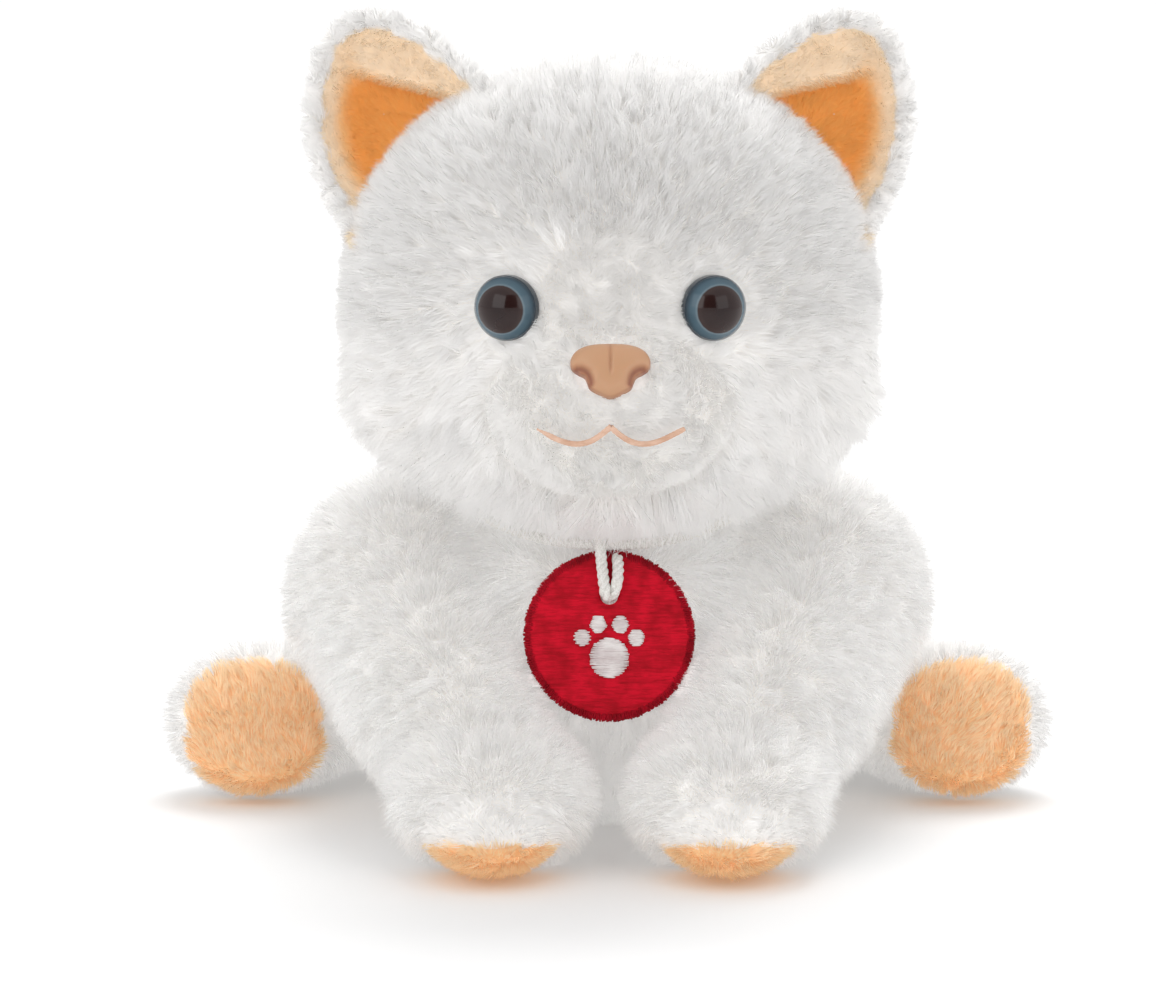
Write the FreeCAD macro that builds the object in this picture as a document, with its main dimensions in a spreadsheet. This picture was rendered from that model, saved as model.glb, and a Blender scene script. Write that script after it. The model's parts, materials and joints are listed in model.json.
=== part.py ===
"""Sitting plush cat, as a FreeCAD document: sewn pile covers over stuffing, with safety eyes, nose and hang tag.

Millimetres, +Z up, origin on the floor under the body, the cat facing -Y. "Left" is the cat's own left, +X.
Every soft limb ends in a ball that sits in a round hollow of the body, so that the sewn seam can flex about it.
"""

import FreeCAD, Part
import math
import os
import Sketcher

from FreeCAD import Placement, Rotation, Vector

FLOOR_BOX = 400.0  # larger than the toy in every direction
HALF = FLOOR_BOX / 2
FORWARD = Vector(0, -1, 0)
UP = Vector(0, 0, 1)

DIMENSIONS = {
    # covers
    "wall": 3.0,
    "fit_gap": 0.1,
    "seam_gap": 0.1,
    "joint_gap": 1.0,
    # head: skull, jowls and muzzle are three blended ellipsoids
    "skull_y": -36,
    "skull_z": 131,
    "skull_half_width": 60,
    "skull_half_depth": 50,
    "skull_half_height": 54,
    "jowl_y": -40,
    "jowl_z": 108,
    "jowl_half_width": 58,
    "jowl_half_depth": 32,
    "jowl_half_height": 25,
    "muzzle_y": -72,
    "muzzle_z": 110,
    "muzzle_half_width": 31,
    "muzzle_half_depth": 26,
    "muzzle_half_height": 24,
    # short pile face panel: a wide lobe over the muzzle and a narrow one up the nose bridge
    "face_lobe_y": -92,
    "face_lobe_z": 108,
    "face_lobe_half_width": 32,
    "face_lobe_half_depth": 34,
    "face_lobe_half_height": 22,
    "bridge_lobe_y": -88,
    "bridge_lobe_z": 134,
    "bridge_lobe_half_width": 18,
    "bridge_lobe_half_depth": 22,
    "bridge_lobe_half_height": 20,
    # eyes
    "eye_x": 24.4,
    "eye_z": 132.5,
    "eye_seat_depth": 1.5,
    "eye_radius": 7.6,
    "eye_rim_height": 1.2,
    "eye_height": 5.8,
    "pupil_radius": 5.7,
    "pupil_base_height": 3.4,
    "pupil_gap": 0.02,
    "shank_radius": 2.4,
    "shank_length": 11,
    "washer_radius": 6.0,
    "washer_thickness": 1.2,
    "washer_depth": 3.4,
    "hardware_room": 0.4,
    "seat_height": 30,
    "seat_clearance": 0.25,
    # nose
    "nose_z": 120.5,
    "nose_tilt": 22,
    "nose_half_width": 9.2,
    "nose_bottom": 7.4,
    "nose_thickness": 4.2,
    "nose_round": 1.2,
    "nose_seat_radius": 10.2,
    # mouth
    "mouth_half_width": 16.7,
    "mouth_peak_z": 108.3,
    "mouth_dip": 4.2,
    "mouth_corner_drop": 0.8,
    "thread_radius": 0.55,
    # ears
    "ear_x": 46,
    "ear_y": -25,
    "ear_z": 163.5,
    "ear_splay": 45,
    "ear_cup_radius": 34,
    "ear_wall": 3.0,
    "ear_lining_wall": 1.6,
    "ear_half_width": 22,
    "ear_height": 31,
    "ear_root": 3,
    "ear_lining_margin": 4.0,
    "ear_head_gap": 2.4,
    # body
    "body_y": 10,
    "body_z": 36,
    "body_half_width": 52,
    "body_half_depth": 60,
    "body_half_height": 54,
    "belly_height": 12,
    # neck
    "neck_y": -12,
    "neck_z": 84,
    "neck_socket_radius": 27,
    "neck_plug_radius": 23.5,
    # front legs
    "shoulder_x": 46,
    "shoulder_y": -12,
    "shoulder_z": 53,
    "shoulder_ball": 25.5,
    "paw_sleeve_radius": 16.5,
    "paw_x": 27.5,
    "paw_y": -80,
    "paw_z": 17,
    "paw_half_width": 25,
    "paw_half_depth": 27,
    "paw_half_height": 18.5,
    "limb_body_clearance": 3.0,
    "sleeve_step": 2.0,
    "paw_pad_x": 27.5,
    "paw_pad_y": -112,
    "paw_pad_z": -2,
    "paw_pad_half_width": 22,
    "paw_pad_half_depth": 26,
    "paw_pad_half_height": 17,
    # hind legs
    "hip_x": 43,
    "hip_y": 38,
    "hip_z": 24,
    "hip_ball": 21,
    "foot_sleeve_radius": 16.5,
    "foot_x": 87,
    "foot_y": -2,
    "foot_z": 21,
    "foot_half_width": 22.5,
    "foot_half_depth": 16,
    "foot_half_height": 21.5,
    "foot_pad_x": 87,
    "foot_pad_y": -22,
    "foot_pad_z": 21,
    "foot_pad_half_width": 18.5,
    "foot_pad_half_depth": 14,
    "foot_pad_half_height": 17.5,
    # tail
    "tail_y": 66,
    "tail_z": 16,
    "tail_ball": 12,
    "tail_radius": 10.4,
    "tail_tip_radius": 11,
    "tail_bend_radius": 42,
    "tail_bend_angle": 62,
    # sewn seam rings: thin bands of thread round each joint ball
    "seam_thread": 0.5,
    "seam_band": 3.0,
    "limb_seam_depth": 9.0,
    # pellet bag
    "pouch_y": 8,
    "pouch_z": 17,
    "pouch_radius": 24,
    "pouch_half_height": 11,
    "pouch_wall": 0.8,
    # neck cord and hang tag
    "cord_radius": 1.2,
    "cord_loop_radius": 36,
    "cord_front_y": -54,
    "cord_front_z": 72,
    "cord_tilt": 16,
    "loop_cord_radius": 1.3,
    "loop_half_gap": 2.6,
    "loop_length": 9.4,
    "tag_radius": 20,
    "tag_hole_radius": 2.1,
    "tag_hole_inset": 10.5,
    "tag_layer": 0.95,
    "tag_lean": 12,
    "motif_height": 0.5,
    # care label
    "label_x": -24,
    "label_length": 17,
    "label_width": 13,
    "label_thickness": 0.5,
    "label_z": 20,
    "label_gap": 1.0,
}

doc = FreeCAD.newDocument("plush_cat")
sheet = doc.addObject("Spreadsheet::Sheet", "Sizes")
for row, (alias, value) in enumerate(DIMENSIONS.items(), start=1):
    sheet.set(f"A{row}", alias)
    sheet.set(f"B{row}", str(value))
    sheet.setAlias(f"B{row}", alias)
doc.recompute()

kept_parts = []


def size(alias):
    """A driving dimension, read back from the sheet."""
    return float(sheet.get(alias))


def cell(alias):
    """The expression that binds a property to a cell."""
    return f"Sizes.{alias}"


def bind(obj, **expressions):
    for prop, expression in expressions.items():
        obj.setExpression(prop.replace("__", "."), expression)
    return obj


def add(kind, name):
    return doc.addObject(kind, name)


def ellipsoid(name, centre, radii, grow="0"):
    """An ellipsoid with its centre and half sizes (x, y, z) as expressions, each half size enlarged by grow."""
    obj = add("Part::Ellipsoid", name)
    half_x, half_y, half_z = radii
    x, y, z = centre
    bind(obj, Radius1=f"{half_z} + ({grow})", Radius2=f"{half_x} + ({grow})", Radius3=f"{half_y} + ({grow})")
    return bind(obj, Placement__Base__x=x, Placement__Base__y=y, Placement__Base__z=z)


def named_ellipsoid(name, stem, x="0", grow="0"):
    """An ellipsoid whose centre and half sizes are the sheet's stem_y, stem_z, stem_half_width and so on."""
    centre = (x, cell(stem + "_y"), cell(stem + "_z"))
    radii = [cell(f"{stem}_half_{word}") for word in ("width", "depth", "height")]
    return ellipsoid(name, centre, radii, grow)


def sphere(name, centre, radius):
    x, y, z = centre
    obj = bind(add("Part::Sphere", name), Radius=radius)
    return bind(obj, Placement__Base__x=x, Placement__Base__y=y, Placement__Base__z=z)


def fuse(name, *shapes):
    obj = add("Part::MultiFuse", name)
    obj.Shapes = list(shapes)
    return obj


def cut(name, base, *tools):
    obj = add("Part::Cut", name)
    obj.Base = base
    obj.Tool = tools[0] if len(tools) == 1 else fuse(name + "_tools", *tools)
    return obj


def common(name, base, tool):
    obj = add("Part::Common", name)
    obj.Base = base
    obj.Tool = tool
    return obj


def mirror(name, source):
    """The same piece on the cat's right side."""
    obj = add("Part::Mirroring", name)
    obj.Source = source
    obj.Normal = Vector(1, 0, 0)
    return obj


def keep(obj, label):
    """Marks an object as one of the toy's real pieces; label names its file."""
    obj.Label = label
    kept_parts.append(obj)
    return obj


def keep_pair(left, stem):
    keep(left, "left_" + stem)
    keep(mirror("right_" + stem + "_mirror", left), "right_" + stem)


def above_floor(name, height="0"):
    """A very large box from the given height up."""
    return big_box(name, f"-{HALF}", height)


def big_box(name, x, z):
    """A box larger than the toy with its lowest x and z given, and centred in y."""
    box = bind(add("Part::Box", name), Placement__Base__x=x, Placement__Base__z=z)
    box.Length = FLOOR_BOX
    box.Width = FLOOR_BOX
    box.Height = FLOOR_BOX
    box.Placement.Base.y = -HALF
    return box


def aligned(direction, at):
    """The placement whose local Z runs along direction, with local X kept level."""
    z_axis = Vector(direction).normalize()
    x_axis = UP.cross(z_axis)
    if x_axis.Length < 1e-6:
        x_axis = Vector(1, 0, 0)
    x_axis.normalize()
    y_axis = z_axis.cross(x_axis)
    return Placement(Vector(at), Rotation(x_axis, y_axis, z_axis, "ZXY"))


def cylinder(name, direction, at, radius, height):
    obj = bind(add("Part::Cylinder", name), Radius=radius, Height=height)
    obj.Placement = aligned(direction, at)
    return obj


def body_plane(body, role):
    return next(f for f in body.Origin.OriginFeatures if f.Role == role)


def new_sketch(body, name, role):
    sketch = body.newObject("Sketcher::SketchObject", name)
    sketch.AttachmentSupport = [(body_plane(body, role), "")]
    sketch.MapMode = "FlatFace"
    return sketch


def rounded_outline(points):
    """Line and arc geometry round a closed polygon; each point is (x, y, corner radius)."""
    geometry, starts, ends, arcs = [], [], [], []
    count = len(points)
    for i, (x, y, radius) in enumerate(points):
        here = Vector(x, y, 0)
        before = Vector(*points[i - 1][:2], 0) - here
        after = Vector(*points[(i + 1) % count][:2], 0) - here
        before.normalize()
        after.normalize()
        half_angle = before.getAngle(after) / 2
        reach = radius / math.tan(half_angle)
        middle_direction = (before + after).normalize()
        centre = here + middle_direction * (radius / math.sin(half_angle))
        start, end = here + before * reach, here + after * reach
        middle = centre - middle_direction * radius
        starts.append(start)
        ends.append(end)
        arcs.append(Part.Arc(start, middle, end))
    for i in range(count):
        geometry.append(arcs[i])
        geometry.append(Part.LineSegment(ends[i], starts[(i + 1) % count]))
    return geometry


def profile(points):
    """Straight line geometry round a closed polygon of (x, y) points."""
    corners = [Vector(x, y, 0) for x, y in points]
    return [Part.LineSegment(a, b) for a, b in zip(corners, corners[1:] + corners[:1])]


def revolved(name, geometry, axis="V_Axis"):
    """A body made by revolving a profile drawn on the XZ plane about its vertical axis."""
    body = add("PartDesign::Body", name)
    sketch = new_sketch(body, name + "_sketch", "XZ_Plane")
    sketch.addGeometry(geometry, False)
    turn = body.newObject("PartDesign::Revolution", name + "_turn")
    turn.Profile = sketch
    turn.ReferenceAxis = (sketch, [axis])
    turn.Angle = 360
    return body


# ---------------------------------------------------------------- body


NECK = ("0", cell("neck_y"), cell("neck_z"))
SHOULDER = (cell("shoulder_x"), cell("shoulder_y"), cell("shoulder_z"))
HIP = (cell("hip_x"), cell("hip_y"), cell("hip_z"))
TAIL_ROOT = ("0", cell("tail_y"), cell("tail_z"))


def opposite(centre):
    return ("-" + centre[0], centre[1], centre[2])


def body_solid(name, inset):
    """The body egg with a flat base and a round hollow for every joint, all inset by the same amount."""
    egg = named_ellipsoid(name + "_egg", "body", grow=f"-({inset})")
    hollows = [sphere(name + "_neck_hollow", NECK, f"{cell('neck_socket_radius')} + {inset}")]
    for stem, centre in (("shoulder", SHOULDER), ("hip", HIP)):
        radius = f"{cell(stem + '_ball')} + {cell('joint_gap')} + {inset}"
        hollows.append(sphere(f"{name}_{stem}_left", centre, radius))
        hollows.append(sphere(f"{name}_{stem}_right", opposite(centre), radius))
    tail_radius = f"{cell('tail_ball')} + {cell('joint_gap')} + {inset}"
    hollows.append(sphere(name + "_tail_hollow", TAIL_ROOT, tail_radius))
    standing = common(name + "_standing", egg, above_floor(name + "_floor", inset))
    return cut(name, standing, *hollows)


def side_box(name, lowest):
    """A very large box on the cat's left of the seam on the middle plane, from the given height up."""
    return big_box(name, f"{cell('seam_gap')} / 2", lowest)


def build_body():
    shell = cut("body_shell", body_solid("body_outer", "0"), body_solid("body_cavity", cell("wall")))
    belly_top = above_floor("belly_top", cell("belly_height"))
    keep(cut("belly_panel", shell, belly_top), "belly_panel")
    panel_floor = f"{cell('belly_height')} + {cell('seam_gap')}"
    keep_pair(common("body_panel", shell, side_box("body_side", panel_floor)), "body_panel")

    pouch_centre = ("0", cell("pouch_y"), cell("pouch_z"))
    pouch_size = (cell("pouch_radius"), cell("pouch_radius"), cell("pouch_half_height"))
    wall = cell("pouch_wall")
    hollow = ellipsoid("pouch_hollow", pouch_centre, pouch_size, cell("fit_gap"))
    core = body_solid("body_core", f"({cell('wall')} + {cell('fit_gap')})")
    keep(cut("body_stuffing_cut", core, hollow), "body_stuffing")
    outer = ellipsoid("pouch_outer", pouch_centre, pouch_size)
    inner = ellipsoid("pouch_inner", pouch_centre, pouch_size, f"-{wall}")
    keep(cut("pouch_shell", outer, inner), "pellet_pouch")
    pellets = ellipsoid("pouch_pellets", pouch_centre, pouch_size, f"-({wall} + {cell('fit_gap')})")
    keep(pellets, "pellet_fill")


# ---------------------------------------------------------------- joints


def seam_ring(name, centre, direction, ball, depth=0.0):
    """A band of sewing thread between a joint ball and its hollow, round the direction and depth behind the centre."""
    gap = f"({cell('joint_gap')} - {cell('seam_thread')}) / 2"
    inner = f"{ball} + {gap}"
    outer = f"{ball} + {gap} + {cell('seam_thread')}"
    ball_shell = cut(name + "_shell", sphere(name + "_outer", centre, outer), sphere(name + "_inner", centre, inner))
    slab = add("Part::Cylinder", name + "_slab")
    slab.Radius = HALF
    bind(slab, Height=cell("seam_band"))
    at = Vector(*[evaluated(value) for value in centre])
    offset = Vector(direction).normalize() * (depth + size("seam_band") / 2)
    slab.Placement = aligned(direction, at - offset)
    return common(name, ball_shell, slab)


def evaluated(expression):
    """The number that a centre expression such as Sizes.hip_x stands for."""
    sign = -1 if expression.startswith("-") else 1
    alias = expression.replace("-", "").replace("Sizes.", "")
    return sign * (size(alias) if alias != "0" else 0.0)


def limb_solid(name, joint, end, inset):
    """A joint ball, a tapered sleeve and a rounded end, clear of the body egg and flat on the floor."""
    root = (cell(joint + "_x"), cell(joint + "_y"), cell(joint + "_z"))
    ball = sphere(name + "_ball", root, f"{cell(joint + '_ball')} - {inset}")
    tip = named_ellipsoid(name + "_tip", end, x=cell(end + "_x"), grow=f"-({inset})")
    start = Vector(*[size(f"{joint}_{axis}") for axis in "xyz"])
    stop = Vector(*[size(f"{end}_{axis}") for axis in "xyz"])
    ball.Placement.Rotation = aligned(stop - start, start).Rotation
    sleeve = add("Part::Cone", name + "_sleeve")
    bind(sleeve, Radius1=f"{cell(joint + '_ball')} - {inset} - {cell('sleeve_step')}")
    bind(sleeve, Radius2=f"{cell(end + '_sleeve_radius')} - {inset}")
    sleeve.Height = (stop - start).Length
    sleeve.Placement = aligned(stop - start, start)
    clearance = f"{cell('limb_body_clearance')} + {inset}"
    body = named_ellipsoid(name + "_body", "body", grow=clearance)
    free = cut(name + "_free", fuse(name + "_reach", sleeve, tip), body)
    return common(name, fuse(name + "_whole", ball, free), above_floor(name + "_floor", inset))


def build_limb(stem, joint, end):
    """Cover, sewn-in pad and stuffing of one kind of leg, left and right, and its seam ring."""
    inner = f"({cell('wall')} + {cell('fit_gap')})"
    shell = cut(stem + "_shell", limb_solid(stem + "_outer", joint, end, "0"),
                limb_solid(stem + "_cavity", joint, end, cell("wall")))
    patch = pad_patch(end, "patch", "0")
    patch_room = pad_patch(end, "patch_room", cell("seam_gap"))
    keep_pair(cut(stem + "_cover_cut", shell, patch_room), stem + "_cover")
    keep_pair(limb_solid(stem + "_core", joint, end, inner), stem + "_stuffing")
    pad_shell = cut(stem + "_pad_shell", limb_solid(stem + "_pad_outer", joint, end, "0"),
                    limb_solid(stem + "_pad_cavity", joint, end, cell("wall")))
    keep_pair(common(stem + "_pad_common", pad_shell, patch), end + "_pad")
    centre = (cell(joint + "_x"), cell(joint + "_y"), cell(joint + "_z"))
    outward = Vector(size(joint + "_x"), size(joint + "_y") - size("body_y"), size(joint + "_z") - size("body_z"))
    ring = seam_ring(joint + "_ring", centre, outward, cell(joint + "_ball"), size("limb_seam_depth"))
    keep_pair(ring, joint + "_seam")


def pad_patch(end, name, grow):
    """The rounded region of a limb's end that is sewn from pad cloth."""
    centre = [cell(f"{end}_pad_{axis}") for axis in "xyz"]
    radii = [cell(f"{end}_pad_half_{word}") for word in ("width", "depth", "height")]
    return ellipsoid(f"{end}_{name}", centre, radii, grow)


def build_neck():
    keep(sphere("neck_ball", NECK, cell("neck_plug_radius")), "neck_plug")
    ring_ball = f"{cell('neck_socket_radius')} - {cell('joint_gap')}"
    toward_head = Vector(0, size("skull_y") - size("neck_y"), size("skull_z") - size("neck_z"))
    keep(seam_ring("neck_ring", NECK, toward_head, ring_ball), "neck_seam")


# ---------------------------------------------------------------- tail


def on_tail_arc(share):
    """The point a share of the way along the bent centre line of the tail."""
    bend = size("tail_bend_radius")
    angle = math.radians(size("tail_bend_angle")) * share
    return Vector(bend - bend * math.cos(angle), size("tail_y") + bend * math.sin(angle), size("tail_z"))


def tail_sweep(name, inset):
    """The bent part of the tail: a round section swept along an arc in the floor plane, with a ball at each end."""
    root = on_tail_arc(0)
    spine = Part.Wire(Part.Arc(root, on_tail_arc(0.5), on_tail_arc(1)).toShape())
    section = Part.Wire(Part.makeCircle(size("tail_radius") - inset, root, Vector(0, 1, 0)))
    tube = spine.makePipeShell([section], True, False)
    tip = Part.makeSphere(size("tail_tip_radius") - inset, on_tail_arc(1))
    obj = add("Part::Feature", name)
    obj.Shape = tube.fuse(tip)
    return obj


def tail_solid(name, inset):
    ball = sphere(name + "_ball", TAIL_ROOT, f"{cell('tail_ball')} - {inset}")
    body = named_ellipsoid(name + "_body", "body", grow=f"{cell('limb_body_clearance')} + {inset}")
    free = cut(name + "_free", tail_sweep(name + "_tube", inset), body)
    return fuse(name, ball, free)


def build_tail():
    wall = size("wall")
    keep(cut("tail_shell", tail_solid("tail_outer", 0.0), tail_solid("tail_cavity", wall)), "tail_cover")
    keep(tail_solid("tail_core", wall + size("fit_gap")), "tail_stuffing")
    keep(seam_ring("tail_ring", TAIL_ROOT, Vector(0, 1, 0), cell("tail_ball")), "tail_seam")


# ---------------------------------------------------------------- head


def ellipsoid_surface(stem, x, z):
    """(point, outward normal) on the front of a named ellipsoid, at the given x and z."""
    half = [size(f"{stem}_half_{word}") for word in ("width", "depth", "height")]
    up = z - size(stem + "_z")
    forward = half[1] * math.sqrt(1 - (x / half[0]) ** 2 - (up / half[2]) ** 2)
    point = Vector(x, size(stem + "_y") - forward, z)
    normal = Vector(x / half[0] ** 2, -forward / half[1] ** 2, up / half[2] ** 2).normalize()
    return point, normal


def head_solid(name, inset):
    """Skull, jowls and muzzle together, with the round hollow for the neck, all inset by the same amount."""
    lobes = [named_ellipsoid(f"{name}_{stem}", stem, grow=f"-({inset})") for stem in ("skull", "jowl", "muzzle")]
    hollow = sphere(name + "_neck", NECK, f"{cell('neck_socket_radius')} + {inset}")
    return cut(name, fuse(name + "_lobes", *lobes), hollow)


def face_region(name, grow):
    lobes = [named_ellipsoid(f"{name}_{stem}", stem, grow=grow) for stem in ("face_lobe", "bridge_lobe")]
    return fuse(name, *lobes)


def eye_frame():
    """(base centre of the left eye, outward normal): the base is sunk into the pile by the seat depth."""
    point, normal = ellipsoid_surface("skull", size("eye_x"), size("eye_z"))
    return point - normal * size("eye_seat_depth"), normal


def nose_frame():
    point, _ = ellipsoid_surface("muzzle", 0, size("nose_z"))
    tilt = math.radians(size("nose_tilt"))
    normal = Vector(0, -math.cos(tilt), math.sin(tilt))
    return point - normal * size("eye_seat_depth"), normal


def hardware_room(name, frame, seat_radius):
    """The space that a plastic eye or nose takes in the head: a seat in the pile, a shank hole and a washer."""
    at, normal = frame
    room = cell("hardware_room")
    seat = cylinder(name + "_seat", normal, at, seat_radius, cell("seat_height"))
    shank_start = at - normal * (size("shank_length") + size("hardware_room"))
    shank = cylinder(name + "_shank", normal, shank_start, f"{cell('shank_radius')} + {cell('fit_gap')}",
                     f"{cell('shank_length')} + {room}")
    depth = size("washer_depth") + size("washer_thickness") + size("hardware_room")
    washer = cylinder(name + "_washer", normal, at - normal * depth, f"{cell('washer_radius')} + {room}",
                      f"{cell('washer_thickness')} + 2 * {room}")
    return seat, shank, washer


def build_head():
    shell = cut("head_shell", head_solid("head_outer", "0"), head_solid("head_cavity", cell("wall")))
    seat_radius = f"{cell('eye_radius')} + {cell('seat_clearance')}"
    left_eye = hardware_room("left_eye_room", eye_frame(), seat_radius)
    rooms = list(left_eye)
    rooms += [mirror(f"right_eye_room_{i}", room) for i, room in enumerate(left_eye)]
    rooms += hardware_room("nose_room", nose_frame(), cell("nose_seat_radius"))
    pierced = cut("head_pierced", shell, *rooms)
    keep(common("face_common", pierced, face_region("face_area", "0")), "face_panel")
    outside = cut("head_outside", pierced, face_region("face_area_room", cell("seam_gap")))
    keep_pair(common("head_panel", outside, side_box("head_side", "0")), "head_panel")
    core = head_solid("head_core", f"({cell('wall')} + {cell('fit_gap')})")
    keep(cut("head_stuffing_cut", core, *rooms), "head_stuffing")


def washer_body(name, frame):
    """A snap washer on a shank."""
    at, normal = frame
    body = add("PartDesign::Body", name)
    sketch = new_sketch(body, name + "_sketch", "XY_Plane")
    for alias, extra in (("washer_radius", 0.0), ("shank_radius", size("fit_gap"))):
        index = sketch.addGeometry(Part.Circle(Vector(0, 0, 0), UP, size(alias) + extra), False)
        centre_and_bind(sketch, index, alias, f"{cell(alias)} + {extra}")
    pad = body.newObject("PartDesign::Pad", name + "_pad")
    pad.Profile = sketch
    bind(pad, Length=cell("washer_thickness"))
    depth = size("washer_depth") + size("washer_thickness")
    body.Placement = aligned(normal, at - normal * depth)
    return body


def centre_and_bind(sketch, index, name, expression):
    """Fixes a circle's centre on the origin and binds its radius to the sheet."""
    sketch.addConstraint(Sketcher.Constraint("Coincident", index, 3, -1, 1))
    number = sketch.addConstraint(Sketcher.Constraint("Radius", index, sketch.Geometry[index].Radius))
    sketch.renameConstraint(number, name)
    sketch.setExpression(f"Constraints.{name}", expression)


def dome_point(radius):
    """The point at a radius on the sphere through the rim and the top of an eye, in the eye's own profile plane."""
    rise = size("eye_height") - size("eye_rim_height")
    ball = (size("eye_radius") ** 2 + rise**2) / (2 * rise)
    return radius, size("eye_height") - ball + math.sqrt(ball**2 - radius**2)


def dome_arc(start_radius, stop_radius):
    """The arc of the dome between two radii."""
    radii = (start_radius, (start_radius + stop_radius) / 2, stop_radius)
    return Part.Arc(*[Vector(*dome_point(radius), 0) for radius in radii])


def build_eyes():
    """Domed safety eyes: a coloured rim piece with its shank, a dark pupil set in it, and a washer."""
    rim = size("eye_radius")
    pupil = size("pupil_radius")
    seat = size("pupil_base_height")
    shank = size("shank_radius")
    length = size("shank_length")
    below = [(0, seat), (0, -length), (shank, -length), (shank, 0), (rim, 0)]
    eye_lines = profile(below + [dome_point(rim), dome_point(pupil), (pupil, seat)])
    eye_lines[len(below)] = dome_arc(rim, pupil)
    eye = revolved("eye_body", eye_lines)

    gap = size("pupil_gap")
    edge = pupil - gap
    pupil_lines = profile([dome_point(0), (0, seat + gap), (edge, seat + gap), dome_point(edge)])
    pupil_lines[3] = dome_arc(edge, 0)
    pupil_body = revolved("pupil_body", pupil_lines)
    at, normal = eye_frame()
    for body in (eye, pupil_body):
        body.Placement = aligned(normal, at)
    keep_pair(eye, "eye")
    keep_pair(pupil_body, "eye_pupil")
    keep_pair(washer_body("eye_washer_body", eye_frame()), "eye_washer")


# right half of the nose outline, top to bottom: shares of the half width and of the depth below the shank,
# and the corner radius in millimetres
NOSE_SIDE = [(0.87, -0.73, 2.6), (1.0, -0.19, 2.2), (0.6, 0.32, 1.4), (0.42, 0.74, 1.4), (0.16, 1.0, 1.2)]


def build_nose():
    """A moulded nose: a rounded triangle with nostril notches, on a shank with a washer."""
    half = size("nose_half_width")
    bottom = size("nose_bottom")
    right = [(half * across, -bottom * drop, radius) for across, drop, radius in NOSE_SIDE]
    left = [(-x, y, radius) for x, y, radius in reversed(right)]
    body = add("PartDesign::Body", "nose_body")
    sketch = new_sketch(body, "nose_sketch", "XY_Plane")
    sketch.addGeometry(rounded_outline(right + left), False)
    pad = body.newObject("PartDesign::Pad", "nose_pad")
    pad.Profile = sketch
    bind(pad, Length=cell("nose_thickness"))
    shank_sketch = new_sketch(body, "nose_shank_sketch", "XY_Plane")
    index = shank_sketch.addGeometry(Part.Circle(Vector(0, 0, 0), UP, size("shank_radius")), False)
    centre_and_bind(shank_sketch, index, "shank_radius", cell("shank_radius"))
    shank = body.newObject("PartDesign::Pad", "nose_shank")
    shank.Profile = shank_sketch
    bind(shank, Length=cell("shank_length"))
    shank.Reversed = True
    doc.recompute()
    front = max(range(len(pad.Shape.Faces)), key=lambda i: pad.Shape.Faces[i].CenterOfMass.z)
    rim = body.newObject("PartDesign::Fillet", "nose_rim")
    rim.Base = (shank, [face_name(shank.Shape, pad.Shape.Faces[front])])
    bind(rim, Radius=cell("nose_round"))
    body.Tip = rim
    at, normal = nose_frame()
    body.Placement = aligned(normal, at)
    keep(body, "nose")
    keep(washer_body("nose_washer_body", nose_frame()), "nose_washer")


def face_name(shape, wanted):
    """The name, in shape, of the face with the same centre as wanted."""
    for number, face in enumerate(shape.Faces, start=1):
        if (face.CenterOfMass - wanted.CenterOfMass).Length < 1e-3:
            return f"Face{number}"
    raise ValueError("the face is not in the shape")


def build_mouth():
    """One line of satin stitch laid on the muzzle: two smile arcs that meet in a peak under the nose."""
    radius = size("thread_radius")
    stations = 8
    points = []
    for i in range(-stations, stations + 1):
        share = abs(i) / stations
        smile = math.sin(math.pi * (share * 0.95) ** 0.8)
        z = size("mouth_peak_z") - size("mouth_dip") * smile - size("mouth_corner_drop") * share
        surface, normal = ellipsoid_surface("muzzle", size("mouth_half_width") * i / stations, z)
        points.append(surface + normal * (radius + size("fit_gap")))
    halves = []
    for run in (points[: stations + 1], points[stations:]):
        curve = Part.BSplineCurve()
        curve.interpolate(run)
        spine = Part.Wire(curve.toShape())
        section = Part.Wire(Part.makeCircle(radius, run[0], run[1] - run[0]))
        halves.append(spine.makePipeShell([section], True, False))
    peak_joint = Part.makeSphere(radius, points[stations])
    mouth = add("Part::Feature", "mouth_thread")
    mouth.Shape = halves[0].fuse(halves[1]).fuse(peak_joint)
    keep(mouth, "mouth_embroidery")


# ---------------------------------------------------------------- ears


# ear outline above its root: shares of the half width and of the height, and the corner radius in millimetres
EAR_EDGE = [(0.95, 0.36, 12.0), (-0.12, 1.0, 10.0), (-0.72, 0.92, 8.0), (-1.0, 0.4, 12.0)]


def ear_outline(name, margin):
    """A rounded triangle, base down, inset by margin, drawn on the ear's own X and Z axes."""
    half = size("ear_half_width") - margin
    height = size("ear_height") - margin
    root = -size("ear_root")
    points = [(-half, root, 1.0), (half, root, 1.0)]
    points += [(half * across, height * up, radius) for across, up, radius in EAR_EDGE]
    outline = add("Sketcher::SketchObject", name)
    outline.addGeometry(rounded_outline(points), False)
    outline.Placement = Placement(Vector(0, 0, 0), Rotation(Vector(1, 0, 0), 90))
    return outline


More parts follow.
